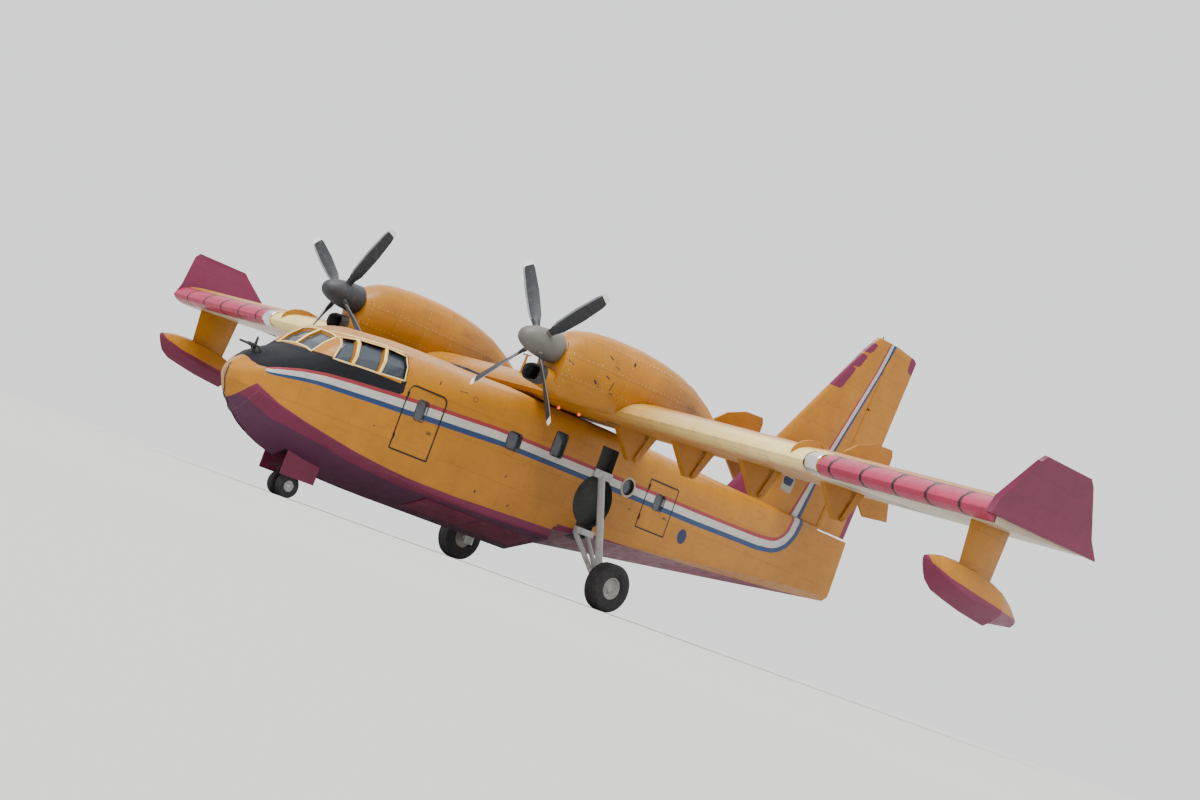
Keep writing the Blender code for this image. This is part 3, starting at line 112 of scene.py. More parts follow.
stand_turn, stand_range, eye_height = math.radians(47.62), 55.0, 0.08
view_turn, view_tilt, view_roll = math.radians(47.68), math.radians(4.64), math.radians(19.79)
eye = Vector((math.sin(stand_turn) * stand_range, -math.cos(stand_turn) * stand_range, eye_height))
ahead = Vector((-math.sin(view_turn) * math.cos(view_tilt), math.cos(view_turn) * math.cos(view_tilt),
                math.sin(view_tilt)))
level = Vector((math.cos(view_turn), math.sin(view_turn), 0))
across = level * math.cos(view_roll) + level.cross(ahead) * math.sin(view_roll)
lens = bpy.data.cameras.new("camera")
lens.lens = 72.0
lens.clip_end = 4000
camera = bpy.data.objects.new("camera", lens)
turned_to = Matrix((across, across.cross(ahead), -ahead)).transposed()
camera.matrix_world = Matrix.Translation(eye) @ turned_to.to_4x4()
bpy.context.scene.collection.objects.link(camera)
bpy.context.scene.camera = camera

# The hull: riveted aluminium sheet over frames and stringers, sprayed golden yellow above and
# plum below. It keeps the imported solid's shape, cut finer so that its paint lines are crisp.
NOSE_Y = -9.91


def fitted(piece, body, slot, *nodes):
    """Says what a piece moves with and which nodes it stands for, which it hides. The slot is not used."""
    if nodes:
        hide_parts(*nodes)
    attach(piece, body)
    return piece


def smooth_skin(node, paint, cell, crease=38, fields=None, body="airframe", slot="yellow_paint", slices=(),
                kind="skin"):
    """A node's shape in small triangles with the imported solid's own smooth shading, painted.
    It is sliced where a paint line runs, each slice an axis and a distance along it."""
    bm = bmesh.new()
    bm.from_mesh(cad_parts[node].data)
    bmesh.ops.remove_doubles(bm, verts=bm.verts, dist=3e-5)
    bmesh.ops.dissolve_degenerate(bm, edges=bm.edges, dist=1e-5)
    bent = bm.loops.layers.float_vector.new("bent")
    near = math.cos(math.radians(crease))
    weights = {f: f.normal * f.calc_area() for f in bm.faces}
    for v in bm.verts:
        for corner in v.link_loops:
            own = corner.face.normal
            total = Vector()
            for f in v.link_faces:
                if f.normal.dot(own) > near:
                    total += weights[f]
            corner[bent] = total.normalized() if total.length > 1e-12 else own
    for axis, distance in slices:
        plane = Vector([float(axis == k) for k in "xyz"])
        bmesh.ops.bisect_plane(bm, geom=bm.verts[:] + bm.edges[:] + bm.faces[:], dist=1e-6,
                               plane_co=plane * distance, plane_no=plane)
    bmesh.ops.triangulate(bm, faces=[f for f in bm.faces if len(f.verts) > 3])
    for _ in range(12):
        long = [e for e in bm.edges if e.calc_length() > cell]
        if not long:
            break
        bmesh.ops.subdivide_edges(bm, edges=long, cuts=1)
        bmesh.ops.triangulate(bm, faces=[f for f in bm.faces if len(f.verts) > 3], quad_method="SHORT_EDGE")
    name = f"{node}_{kind}"
    mesh = bpy.data.meshes.new(name)
    bm.to_mesh(mesh)
    bm.free()
    mesh.shade_smooth()
    held = np.empty(len(mesh.loops) * 3, np.float32)
    mesh.attributes["bent"].data.foreach_get("vector", held)
    mesh.attributes.remove(mesh.attributes["bent"])
    mesh.normals_split_custom_set(held.reshape(-1, 3).tolist())
    piece = shown(name, mesh, paint)
    if fields:
        fields(piece)
    return fitted(piece, body, slot, node)


def points_of(mesh):
    """A mesh's vertices as rows of x, y and z."""
    co = np.empty(len(mesh.vertices) * 3)
    mesh.vertices.foreach_get("co", co)
    return co.reshape(-1, 3)


def stations(mesh):
    """Every vertex as (x, station aft of the nose, height)."""
    return points_of(mesh) - (0, NOSE_Y, 0)


def gap_to(points, a, b):
    """Distance of points from the segment between two places."""
    run = b - a
    share = np.clip(((points - a) @ run) / (run @ run), 0, 1)
    return np.hypot(*(points - a - share[:, None] * run).T)


def past(points, line):
    """Signed distance of (station, height) points from a line, positive on its left as it runs."""
    line = np.array(line, float)
    best = np.full(len(points), 1e9)
    sign = np.ones(len(points))
    for a, b in zip(line, line[1:]):
        gap = gap_to(points, a, b)
        run = b - a
        side = np.sign(run[0] * (points[:, 1] - a[1]) - run[1] * (points[:, 0] - a[0]))
        closer = gap < best - 1e-9
        best = np.where(closer, gap, best)
        sign = np.where(closer, np.where(side == 0, 1, side), sign)
    return best * sign


def within(points, outline):
    """Signed distance from a closed outline, positive inside it."""
    outline = np.array(outline, float)
    best = np.full(len(points), 1e9)
    hits = np.zeros(len(points), int)
    for a, b in zip(outline, np.roll(outline, -1, 0)):
        (ax, ay), (bx, by) = a, b
        best = np.minimum(best, gap_to(points, a, b))
        if ay != by:
            crossing = ax + (points[:, 1] - ay) * (bx - ax) / (by - ay)
            level_with = (points[:, 1] >= min(ay, by)) & (points[:, 1] < max(ay, by))
            hits += level_with & (points[:, 0] < crossing)
    return np.where(hits % 2 == 1, best, -best)


def rounded_box(low, high, radius, upper_only=False):
    """A door or window outline in station and height, with six steps to a corner."""
    (s0, z0), (s1, z1) = low, high
    outline = []
    for cs, cz, start, upper in ((s1, z1, 0, 1), (s0, z1, 90, 1), (s0, z0, 180, 0), (s1, z0, 270, 0)):
        r = radius if upper or not upper_only else 0.001
        ms, mz = cs - r if cs == s1 else cs + r, cz - r if cz == z1 else cz + r
        outline += [(ms + r * math.cos(t), mz + r * math.sin(t))
                    for t in [math.radians(start + 90 * k / 6) for k in range(7)]]
    return outline


def set_field(mesh, name, values):
    """Stores one number for each vertex, which the paint reads."""
    held = mesh.attributes.get(name) or mesh.attributes.new(name, "FLOAT", "POINT")
    held.data.foreach_set("value", np.asarray(values, np.float32))


# Paint lines as stations aft of the nose and heights, in metres.
plum_line = ((0, 1.10), (0.10, 1.36), (0.20, 1.56), (0.33, 1.98), (0.40, 1.97), (0.50, 1.90),
             (0.86, 1.74), (1.46, 1.59), (2.11, 1.48), (2.82, 1.37), (3.55, 1.30), (4.3, 1.25),
             (5.6, 1.24), (8.645, 1.33), (8.655, 1.49), (11.3, 1.60), (13.74, 1.72), (15.04, 1.80),
             (16.34, 1.88), (18.03, 2.01), (19.9, 2.14))
stripe_upper = ((0.30, 2.30), (0.45, 2.34), (0.62, 2.42), (1.04, 2.56), (1.55, 2.66), (2.14, 2.72),
                (2.77, 2.77), (3.44, 2.82), (4.28, 2.88), (5.19, 2.92), (6.08, 2.97), (12.9, 3.00),
                (14.2, 3.02), (15.5, 3.05), (16.20, 3.09), (16.45, 3.15), (16.66, 3.28), (16.81, 3.47),
                (16.92, 3.80), (17.21, 4.62), (17.38, 5.15), (18.40, 8.11), (18.58, 8.95))
stripe_lower = ((0.30, 2.24), (0.52, 2.23), (0.67, 2.25), (1.04, 2.31), (1.40, 2.36), (2.30, 2.40),
                (2.94, 2.43), (3.63, 2.46), (4.68, 2.52), (6.45, 2.61), (13.1, 2.62), (14.5, 2.65),
                (15.8, 2.67), (16.43, 2.74), (16.72, 2.84), (17.02, 3.02), (17.24, 3.32), (17.36, 3.62),
                (17.43, 3.94), (17.57, 4.75), (17.68, 5.20), (18.65, 8.16), (18.87, 8.95))
deck_patch = [(0.30, 2.32), *stripe_upper[1:8], (3.41, 2.84), (3.41, 3.58), (3.37, 3.66), (3.28, 3.68),
              (3.30, 3.03), (1.45, 3.01), (1.33, 3.0), (1.24, 3.03), (0.9, 3.1), (0.2, 2.6)]
chine_line = ((0, 1.93), (0.3, 1.66), (0.93, 1.42), (2.1, 1.27), (3.0, 1.13), (4.3, 1.05), (5.5, 1.05),
              (8.645, 1.16), (8.655, 1.0), (19.9, 1.9))
STRIPE_START = 0.44
crew_opening = ((3.55, 1.72), (4.58, 3.09))
aft_opening = ((11.10, 2.10), (12.13, 3.22))
fin_blocks = (((14.50, 3.87), (15.49, 3.87), (15.90, 4.57), (14.95, 4.57)),
              ((15.03, 4.68), (15.94, 4.70), (16.22, 5.16), (15.33, 5.16)))


def livery(piece):
    """Works out how far each vertex lies inside every painted area of the hull and fin."""
    mesh = piece.data
    co = stations(mesh)
    side = co[:, 1:]
    s, z = side.T
    plum = np.interp(s, *zip(*plum_line)) - z
    for block in fin_blocks:
        plum = np.maximum(plum, within(side, block))
    set_field(mesh, "plum", plum)
    # The darker plum below the chine is painted shade, a shaded copy of the plum for the downward-facing
    # planing surface.
    set_field(mesh, "bottom", np.minimum(plum, np.interp(s, *zip(*chine_line)) - z))
    upper, lower = past(side, stripe_upper), past(side, stripe_lower)
    share = -upper / np.maximum(lower - upper, 0.05)
    set_field(mesh, "stripe", np.where(s > STRIPE_START - 0.001, share, -30))
    set_field(mesh, "pink", np.where(z > 8.88, 0.03 - np.hypot(co[:, 0], s - 18.3), -1))
    starboard = co[:, 0] < 0.3
    crew = -within(side, rounded_box(*crew_opening, 0.13, True))
    aft = -within(side, rounded_box(*aft_opening, 0.001))
    set_field(mesh, "outline", np.where(starboard, 9, np.where(crew < aft, crew, aft)))
    set_field(mesh, "black", within(side, deck_patch))
    disc = 0.18 - np.hypot(s - 12.8, z - 2.27)
    square = within(side, ((16.36, 4.69), (16.72, 4.67), (16.66, 4.47), (16.34, 4.49)))
    set_field(mesh, "blue", np.maximum(disc - 9 * starboard, square))
    set_field(mesh, "pale", within(side, ((16.32, 4.73), (16.78, 4.71), (16.74, 4.30), (16.34, 4.32))))


def surfaced(tree, shader, colour, rough, relief, strength, height):
    """Joins a colour, a roughness and a relief of some height in metres to a material's shader."""
    bump = add(tree, "Bump", {"Strength": strength, "Distance": height, "Height": relief})
    for source, socket in ((colour, "Base Color"), (rough, "Roughness"), (bump, "Normal")):
        tree.links.new(source, shader.inputs[socket])


def sprayed_paint(name, plane, sheet=(1.25, 0.62), drift=(0.25, 1.0, 3.0)):
    """Semi-gloss polyurethane paint on riveted aluminium sheet."""
    made, tree, shader, where = finish_named(name)
    split = add(tree, "SeparateXYZ", {0: where}, give=None)
    flat = add(tree, "CombineXYZ", {0: split[plane[0]], 1: split[plane[1]]})
    colour = tint("#a66c12")
    # Each field is a distance in metres into a painted area, so a paint edge falls where it is 0.
    # The stripe's three bands are shares of its width, and an outline is a line 34 mm wide.
    for field, low, high, code in (("cream", 0.0, 9.0, "#b9a98f"), ("pink", 0.0, 9.0, "#a02c4b"),
                                   # The darker plum below the chine is painted shade for the downward-facing
                                   # planing surface.
                                   ("plum", 0.0, 9.0, "#6a1c3c"), ("bottom", 0.0, 9.0, "#4b1f3d"),
                                   ("stripe", 0.001, 0.23, "#8c2e35"), ("stripe", 0.23, 0.69, "#b3b1ab"),
                                   ("stripe", 0.69, 1.0, "#1f3960"), ("black", 0.0, 9.0, "#12131a"),
                                   ("outline", 0.0, 0.034, "#1f1a18"), ("pale", 0.0, 9.0, "#98958a"),
                                   ("blue", 0.0, 9.0, "#1a254a")):
        reach = add(tree, "Attribute", attribute_name=field, give="Fac")
        above = add(tree, "Math", {0: reach, 1: low + 1e-4}, operation="GREATER_THAN")
        below = add(tree, "Math", {0: reach, 1: high}, operation="LESS_THAN")
        both = add(tree, "Math", {0: above, 1: below}, operation="MULTIPLY")
        colour = add(tree, "Mix", {0: both, 6: colour, 7: tint(code)}, data_type="RGBA", give=2)
    # A pale yellow on the wing's upper leading edge is a painted highlight of the overhead light, strongest
    # towards the lamps.
    painted_highlight = add(tree, "Attribute", attribute_name="painted_highlight", give="Fac")
    colour = add(tree, "Mix", {0: painted_highlight, 6: colour, 7: tint("#f1dc93")}, data_type="RGBA", give=2)
    # Sheets of about 1.25 by 0.62 m differ slightly in tone; a 2 mm seam is drawn 9 mm wide to show.
    panel = add(tree, "TexBrick", {
        "Vector": flat, "Color1": (0.93, 0.93, 0.93, 1), "Color2": (1, 1, 1, 1),
        "Mortar": (0.62, 0.6, 0.58, 1), "Scale": 1.0, "Mortar Size": 0.0045, "Mortar Smooth": 0.3,
        "Brick Width": sheet[0], "Row Height": sheet[1]}, give=None)
    colour = add(tree, "Mix", {0: 1.0, 6: colour, 7: panel["Color"]}, data_type="RGBA",
                 blend_type="MULTIPLY", give=2)
    # Fading in patches of half a metre, and grime in streaks that the airflow draws out.
    fade = add(tree, "TexNoise", {"Vector": where, "Scale": 1.7, "Detail": 5, "Roughness": 0.6})
    worn = add(tree, "MapRange", {0: fade, 1: 0.3, 2: 0.75, 3: 0.86, 4: 1.06})
    colour = add(tree, "VectorMath", {0: colour, "Scale": worn}, operation="SCALE")
    drawn = add(tree, "Mapping", {"Vector": where, "Scale": drift})
    streak = add(tree, "TexNoise", {"Vector": drawn, "Scale": 4.0, "Detail": 6, "Roughness": 0.65})
    grime = add(tree, "MapRange", {0: streak, 1: 0.56, 2: 0.78, 3: 0.0, 4: 0.38})
    soot = add(tree, "Attribute", attribute_name="soot", give="Fac")
    speck = add(tree, "Math", {0: soot, 1: streak}, operation="MULTIPLY")
    grime = add(tree, "Math", {0: grime, 1: speck}, operation="ADD", use_clamp=True)
    colour = add(tree, "Mix", {0: grime, 6: colour, 7: tint("#4b3a2c")}, data_type="RGBA", give=2)
    # The black patch ahead of the windows is anti-glare paint, which is matt.
    matt = add(tree, "Attribute", attribute_name="black", give="Fac")
    matt = add(tree, "MapRange", {0: matt, 1: 0.0, 2: 0.002, 3: 0.0, 4: 0.5})
    gloss = add(tree, "MapRange", {0: streak, 1: 0.3, 2: 0.8, 3: 0.32, 4: 0.54})
    gloss = add(tree, "Math", {0: gloss, 1: matt}, operation="ADD", use_clamp=True)
    shader.inputs["IOR"].default_value = 1.5
    shader.inputs["Specular IOR Level"].default_value = 0.3
    peel = add(tree, "TexNoise", {"Vector": where, "Scale": 45.0, "Detail": 2})
    seam = add(tree, "Math", {0: peel, 1: 0.12, 2: 0.0}, operation="MULTIPLY_ADD")
    relief = add(tree, "Math", {0: seam, 1: panel["Fac"]}, operation="SUBTRACT")
    surfaced(tree, shader, colour, gloss, relief, 0.35, 0.004)
    return made


side_paint = sprayed_paint("sprayed_polyurethane_on_side_sheet", ("Y", "Z"))


def weathered(name, code, over, patches, cover, rough, relief):
    """Paint, rubber or enamel that has aged in patches of a second tone, which are also duller.
    patches: noise scale, detail and roughness; cover: where they begin, are full, and how dense;
    rough: from smooth to dull; relief: bump strength and height, and a grain's scale of its own."""
    made, tree, shader, where = finish_named(name)
    scale, detail, break_up = patches
    worn = add(tree, "TexNoise",
               {"Vector": where, "Scale": scale, "Detail": detail, "Roughness": break_up})
    begin, full, most = cover
    share = add(tree, "MapRange", {0: worn, 1: begin, 2: full, 3: 0.0, 4: most})
    colour = add(tree, "Mix", {0: share, 6: tint(code), 7: tint(over)}, data_type="RGBA", give=2)
    dull = add(tree, "MapRange", {0: worn, 3: rough[0], 4: rough[1]})
    if len(relief) > 2:
        worn = add(tree, "TexNoise", {"Vector": where, "Scale": relief[2], "Detail": 2})
    surfaced(tree, shader, colour, dull, worn, *relief[:2])
    return made


def line_inside(piece, primer):
    """Gives the near-black primer, painted shade for these recesses, to every face that looks into the cabin,
    a wheel well, a tank or the bay.
    """
    mesh = piece.data
    mesh.materials.append(primer)
    tree = BVHTree.FromPolygons([v.co for v in mesh.vertices], [p.vertices for p in mesh.polygons])
    heights = np.arange(0.7, 4.2, 0.05)
    inward = Vector((-1, 0, 0))
    skin = [(tree.ray_cast(Vector((3, 8.7 + NOSE_Y, h)), inward)[0] or Vector()).x for h in heights]
    for face in mesh.polygons:
        out = face.normal
        side = out.orthogonal().normalized()
        other = out.cross(side)
        start = face.center + out * 0.004
        looks = [out] + [(out + side * a + other * b).normalized() for a in (1, -1) for b in (1, -1)]
        met = sum(tree.ray_cast(start, way, 4.0)[0] is not None for way in looks)
        x, s, z = abs(face.center.x), face.center.y - NOSE_Y, face.center.z
        sunk = x < np.interp(z, heights, skin) - 0.03
        well = sunk and (math.hypot(s - 9.5, z - 2.24) < 0.61 or (abs(s - 9.5) < 0.28 and 1.3 < z < 3.51))
        bay = x < 0.365 and 1.755 < s < 2.785 and 1.0 < z < 1.76
        rise = (z - 0.60) * math.cos(0.33) - x * math.sin(0.33)
        tank = 0.2 < x < 1.12 and 5.1 < s < 8.55 and 0.06 < rise < 0.45
        if met >= 4 or well or bay or (tank and met >= 2):
            face.material_index = 1


hull = smooth_skin("hull", side_paint, 0.16, fields=livery, slices=[("y", STRIPE_START + NOSE_Y)])
# Dull primer brushed inside: matt, with pale scuffs on what boots and cargo touch; its near-black tone is
# painted shade for the cabin, wells, tanks and bay.
dark_primer = weathered("brushed_primer_darkened_as_painted_shade", "#2b2d2c", "#5f6058", (6.0, 6, 0.7), (0.5, 0.8, 0.5),
                        (0.6, 0.85), (0.2, 0.002))
line_inside(hull, dark_primer)

# The crew door and the aft door: pressed sheet doors of the hull's own skin, painted with it.
# Each swings on its front edge.
for door in ("crew_door", "aft_door"):
    smooth_skin(door, side_paint, 0.10, fields=livery, body=door, kind="leaf")

# Glazing: bent acrylic panes held from inside by the frames. The cockpit's panes are clear with a
# grey tint, and the cabin's are coloured nearly black and nearly opaque, as painted shade for the dark cabin
# behind them.


def bent_acrylic(name, code, seen):
    """Moulded acrylic sheet: clear, smooth and slightly wavy, with fine scuffs."""
    made, tree, shader, where = finish_named(name)
    wave = add(tree, "TexNoise", {"Vector": where, "Scale": 2.2, "Detail": 1})
    scuff = add(tree, "TexNoise", {"Vector": where, "Scale": 60.0, "Detail": 4})
    colour = add(tree, "Mix", {0: scuff, 6: tint(code), 7: tint("#5b626b")}, data_type="RGBA", give=2)
    dull = add(tree, "MapRange", {0: scuff, 1: 0.4, 2: 0.8, 3: 0.03, 4: 0.16})
    shader.inputs["IOR"].default_value = 1.49
    shader.inputs["Alpha"].default_value = seen
    surfaced(tree, shader, colour, dull, wave, 0.12, 0.01)
    return made


clear_pane = bent_acrylic("bent_clear_acrylic", "#39414b", 0.62)
# The cabin panes' near-black, nearly opaque colour is painted shade for the dark cabin behind them.
shaded_cabin_pane = bent_acrylic("cabin_acrylic_with_painted_shade", "#1a1d22", 0.93)
for node in ("cockpit_glass", "cabin_glass_left", "cabin_glass_right", "round_glass_left",
             "round_glass_right", "crew_door_glass", "aft_door_glass"):
    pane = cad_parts[node]
    pane.data.materials.clear()
    pane.data.materials.append(clear_pane if node == "cockpit_glass" else shaded_cabin_pane)

# Window and door trim: extruded seals and pressed rims that follow each opening on the skin, and
# the pale frames between the cockpit's panes.


def on_skin(piece, trail, seen="side", start=3):
    """The places on a skin met by rays: from the port side at station and height, from above or
    below at x and station, or from the front at x and height."""
    tree = BVHTree.FromObject(piece, bpy.context.evaluated_depsgraph_get())
    found = []
    for a, b in trail:
        begin, way = {"side": ((start, a + NOSE_Y, b), (-1, 0, 0)), "above": ((a, b + NOSE_Y, 9), (0, 0, -1)),
                      "below": ((a, b + NOSE_Y, 2), (0, 0, 1)), "front": ((a, -11, b), (0, 1, 0))}[seen]
        hit = tree.ray_cast(Vector(begin), Vector(way))
        if hit[0] is not None and (seen != "side" or hit[0].x > 0.02):
            found.append((hit[0], hit[1]))
    return found


def bead(bm, trail, radius, closed=False, sides=6, flat=0.6):
    """A thin extrusion along places on a skin: half sunk, wider than it stands proud."""
    count = len(trail)
    if count < 2:
        return
    rows = []
    for i, (point, normal) in enumerate(trail):
        before = trail[(i - 1) % count if closed else max(i - 1, 0)][0]
        after = trail[(i + 1) % count if closed else min(i + 1, count - 1)][0]
        run = (after - before).normalized()
        wide = run.cross(normal).normalized()
        rise = wide.cross(run).normalized()
        rows.append([bm.verts.new(point + wide * radius * math.cos(t) + rise * radius * flat * math.sin(t))
                     for t in [2 * math.pi * k / sides for k in range(sides)]])
    for first, second in zip(rows, rows[1:] + rows[:1] * closed):
        for k in range(sides):
            j = (k + 1) % sides
            bm.faces.new((first[k], second[k], second[j], first[j]))
    if not closed:
        bm.faces.new(rows[0])
        bm.faces.new(rows[-1][::-1])


def beads(bm, trail, *shape, **more):
    """The same extrusion on the port side and mirrored to starboard."""
    other = [(Vector((-p.x, p.y, p.z)), Vector((-n.x, n.y, n.z))) for p, n in trail]
    for each in (trail, other):
        bead(bm, each, *shape, **more)


def closed_mesh(name, bm):
    """The mesh of a built shape, with its faces turned outwards."""
    bmesh.ops.recalc_face_normals(bm, faces=bm.faces)
    mesh = bpy.data.meshes.new(name)
    bm.to_mesh(mesh)
    bm.free()
    mesh.shade_smooth()
    return mesh


def built(name, bm, finish, slot="panel_black", body="airframe", *nodes):
    """A built shape as a piece of its own, fitted to a body."""
    return fitted(shown(name, closed_mesh(name, bm), finish), body, slot, *nodes)


def even(outline, step, closed=True):
    """An outline with points no further apart than a step."""
    outline = list(outline)
    points = []
    for (a, b), (c, d) in zip(outline, outline[1:] + outline[:1] * closed):
        parts = max(1, math.ceil(math.hypot(c - a, d - b) / step))
        points += [(a + (c - a) * k / parts, b + (d - b) * k / parts) for k in range(parts)]
    return points if closed else points + [outline[-1]]


def lapped(outline):
    """An opening's outline moved outwards by 6 mm, where its trim laps the skin."""
    middle = np.mean(outline, axis=0)
    return [tuple(point + 0.006 * np.sign(point - middle)) for point in np.array(outline)]


def moulded_seal(name, code, rough):
    """Moulded synthetic rubber, or paint on a drawn section: matt, evenly dusty in its creases."""
    return weathered(name, code, "#8a8072", (14.0, 5, 0.5), (0.45, 0.8, 0.3), (rough - 0.1, rough + 0.15),
                     (0.2, 0.001))


black_seal = moulded_seal("moulded_black_window_seal", "#1c1b1d", 0.6)
pale_trim = moulded_seal("sprayed_pale_yellow_window_frame", "#dcc274", 0.4)
cockpit_panes = (((1.62, 3.00), (2.00, 3.02), (2.13, 3.53), (1.86, 3.47)),
                 ((2.08, 3.03), (2.66, 3.06), (2.79, 3.60), (2.21, 3.55)),
                 ((2.74, 3.07), (3.33, 3.12), (3.33, 3.60), (2.87, 3.61)))
pane_lap = ((-0.02, -0.012), (0.02, -0.012), (0.015, 0.012), (-0.02, 0.012))
bm = bmesh.new()
for outline in cockpit_panes:
    rim = even([(a + da, b + db) for (a, b), (da, db) in zip(outline, pane_lap)], 0.06)
    beads(bm, on_skin(hull, rim), 0.018, True)
# The strips between the panes, the sill rail under them and the edge of the roof over them.
for outline in (((2.035, 2.99), (2.17, 3.57)), ((2.70, 3.03), (2.83, 3.63)), ((1.30, 3.03), (1.62, 3.50)),
                ((1.62, 3.52), (1.86, 3.55), (2.20, 3.60), (2.82, 3.66), (3.40, 3.68))):
    beads(bm, on_skin(hull, even(outline, 0.06, False)), 0.030, False, flat=0.45)
# The windscreen's two front panes have the same frames.
front_pane = ((0.015, 1.33), (0.62, 1.33), (0.62, 1.81), (0.015, 1.81))
beads(bm, on_skin(hull, even(front_pane, 0.06), "above"), 0.026, True, flat=0.5)
built("cockpit_window_frames", bm, pale_trim, "yellow_paint")

bm = bmesh.new()
for window in (rounded_box((6.49, 2.63), (6.89, 3.00), 0.08), rounded_box((7.79, 2.86), (8.15, 3.39), 0.05)):
    beads(bm, on_skin(hull, even(lapped(window), 0.05)), 0.016, True)
built("cabin_window_seals", bm, black_seal, "glazing")
bm = bmesh.new()
turns = [math.radians(a) for a in range(0, 360, 12)]
ring = on_skin(hull, [(10.42 + 0.212 * math.cos(t), 2.84 + 0.212 * math.sin(t)) for t in turns])
beads(bm, ring, 0.028, True)
built("round_window_rims", bm, moulded_seal("turned_pale_window_rim", "#a49a80", 0.45), "yellow_paint")

# Door fittings: a rubber window seal and a flush lever handle in its pan on each door.
for door, window, (s, z) in (("crew_door", rounded_box((3.87, 2.45), (4.17, 2.87), 0.07), (4.40, 2.28)),
                             ("aft_door", rounded_box((11.44, 2.61), (11.78, 2.97), 0.06), (11.97, 2.50))):
    leaf = bpy.data.objects[f"{door}_leaf"]
    pan = rounded_box((s - 0.07, z - 0.03), (s + 0.07, z + 0.03), 0.02)
    bm = bmesh.new()
    bead(bm, on_skin(leaf, even(lapped(window), 0.05)), 0.015, True)
    bead(bm, on_skin(leaf, even(pan, 0.03)), 0.005, True)
    bead(bm, on_skin(leaf, even([(s - 0.05, z), (s + 0.05, z)], 0.03, False)), 0.012, False)
    built(f"{door}_fittings", bm, black_seal, "glazing", door)


# The wing: one straight stressed-skin box from tip to tip, yellow inboard. Outboard of its lamps
# the leading edge is pinkish red with dark bands, and the underside is bare cream.
WING_NOSE, WING_Z = 6.88, 4.06
wing_middle = ((6.88, 4.06), (7.3, 4.13), (7.7, 4.18), (9.0, 4.19), (9.5, 4.15), (10.12, 4.11),
               (10.416, 4.062))
LAMP_X = 9.46
BOOT_DEEP = 0.33
CREAM_X = 9.25
boot_bands = (9.98, 10.79, 11.61, 12.42, 13.23)


def wing_livery(piece):
    """How far each vertex of the wing lies inside its painted areas."""
    co = stations(piece.data)
    x, s, z = abs(co[:, 0]), co[:, 1], co[:, 2]
    below = np.interp(s, *zip(*wing_middle)) - z
    outer = x - (LAMP_X + 0.22)
    under = np.minimum(np.minimum(below, x - CREAM_X), s - WING_NOSE - BOOT_DEEP)
    set_field(piece.data, "cream", under)
    edge = np.minimum(np.minimum(WING_NOSE + BOOT_DEEP - s, outer), 13.95 - x)
    set_field(piece.data, "pink", edge)
    band = np.maximum(np.min([abs(x - at) for at in boot_bands], axis=0), 0.034 - edge)
    lip = np.maximum(abs(s - WING_NOSE - BOOT_DEEP) + 0.012, 0.034 - outer)
    set_field(piece.data, "outline", np.minimum(band, lip))
    behind = np.clip((s - 7.3) / 0.5, 0, 1) * np.clip(1 - abs(x - LAMP_X - 0.35) / 0.55, 0, 1) * (below > 0)
    jet = np.clip((s - 7.6) / 1.2, 0, 1) * np.clip(1 - abs(x - 3.1) / 0.6, 0, 1) * (below < 0)
    set_field(piece.data, "soot", 1.3 * behind + 0.9 * jet)
    # The painted highlight: pale yellow on the upper front of the leading edge, rising outboard towards the
    # lamps.
    front = np.clip((WING_NOSE + 0.55 - s) / 0.30, 0, 1) * np.clip((z - WING_Z + 0.20) / 0.08, 0, 1)
    set_field(piece.data, "painted_highlight", 0.9 * front * np.clip((x - 2.6) / 6.0, 0, 1) * (outer < 0))


wing_paint = sprayed_paint("sprayed_polyurethane_on_wing_sheet", ("X", "Y"), (1.1, 0.59), (1.6, 0.22, 1.6))
wing_slices = [("x", sign * at) for at in (*boot_bands, CREAM_X, LAMP_X + 0.22) for sign in (1, -1)]
edge_slices = [("y", WING_NOSE + deep + NOSE_Y) for deep in (BOOT_DEEP, 0.55)]
wing = smooth_skin("wing", wing_paint, 0.30, fields=wing_livery, slices=wing_slices + edge_slices)
for word in ("left", "right"):
    for surface in (f"flap_{word}", f"aileron_{word}"):
        smooth_skin(surface, wing_paint, 0.30, fields=wing_livery, body=surface, slices=wing_slices[-4:])

# The tip plates: flat sheet over ribs, plum on both faces, bolted to the wing's end ribs.


def plum_all_over(piece):
    """One coat of plum on the whole piece."""
    set_field(piece.data, "plum", np.ones(len(piece.data.vertices)))


plate_paint = sprayed_paint("sprayed_plum_on_end_plates", ("Y", "Z"), (0.9, 0.45))
for word in ("left", "right"):
    smooth_skin(f"tip_plate_{word}", plate_paint, 0.20, 25, plum_all_over, slot="plum_paint")

# The floats: sheet hulls on one broad strut each, yellow decks over plum bottoms, with a lip
# where the deck meets the bottom.


def float_livery(piece):
    """Plum below the deck's edge."""
    co = stations(piece.data)
    deck_line = np.interp(co[:, 1], (6.4, 6.62, 7.1, 7.9, 8.75, 9.6), (3.2, 2.84, 2.70, 2.60, 2.52, 2.46))
    set_field(piece.data, "plum", deck_line - co[:, 2])


for word in ("left", "right"):
    smooth_skin(f"float_{word}", side_paint, 0.10, 30, float_livery, slot="plum_paint")
    smooth_skin(f"float_strut_{word}", side_paint, 0.15, 60)


# The engine nacelles: tall teardrop cowls of sheet over each engine, hinged in panels, with a
# chin intake whose black lip is moulded rubber and whose duct is lined with dark brown steel, painted shade
# for its depth.
ENGINE_X, SHAFT_Z = 3.51, 4.755
nacelle_paint = sprayed_paint("sprayed_polyurethane_on_cowl_panels", ("Y", "Z"), (0.82, 0.47),
                              (1.2, 0.35, 1.4))


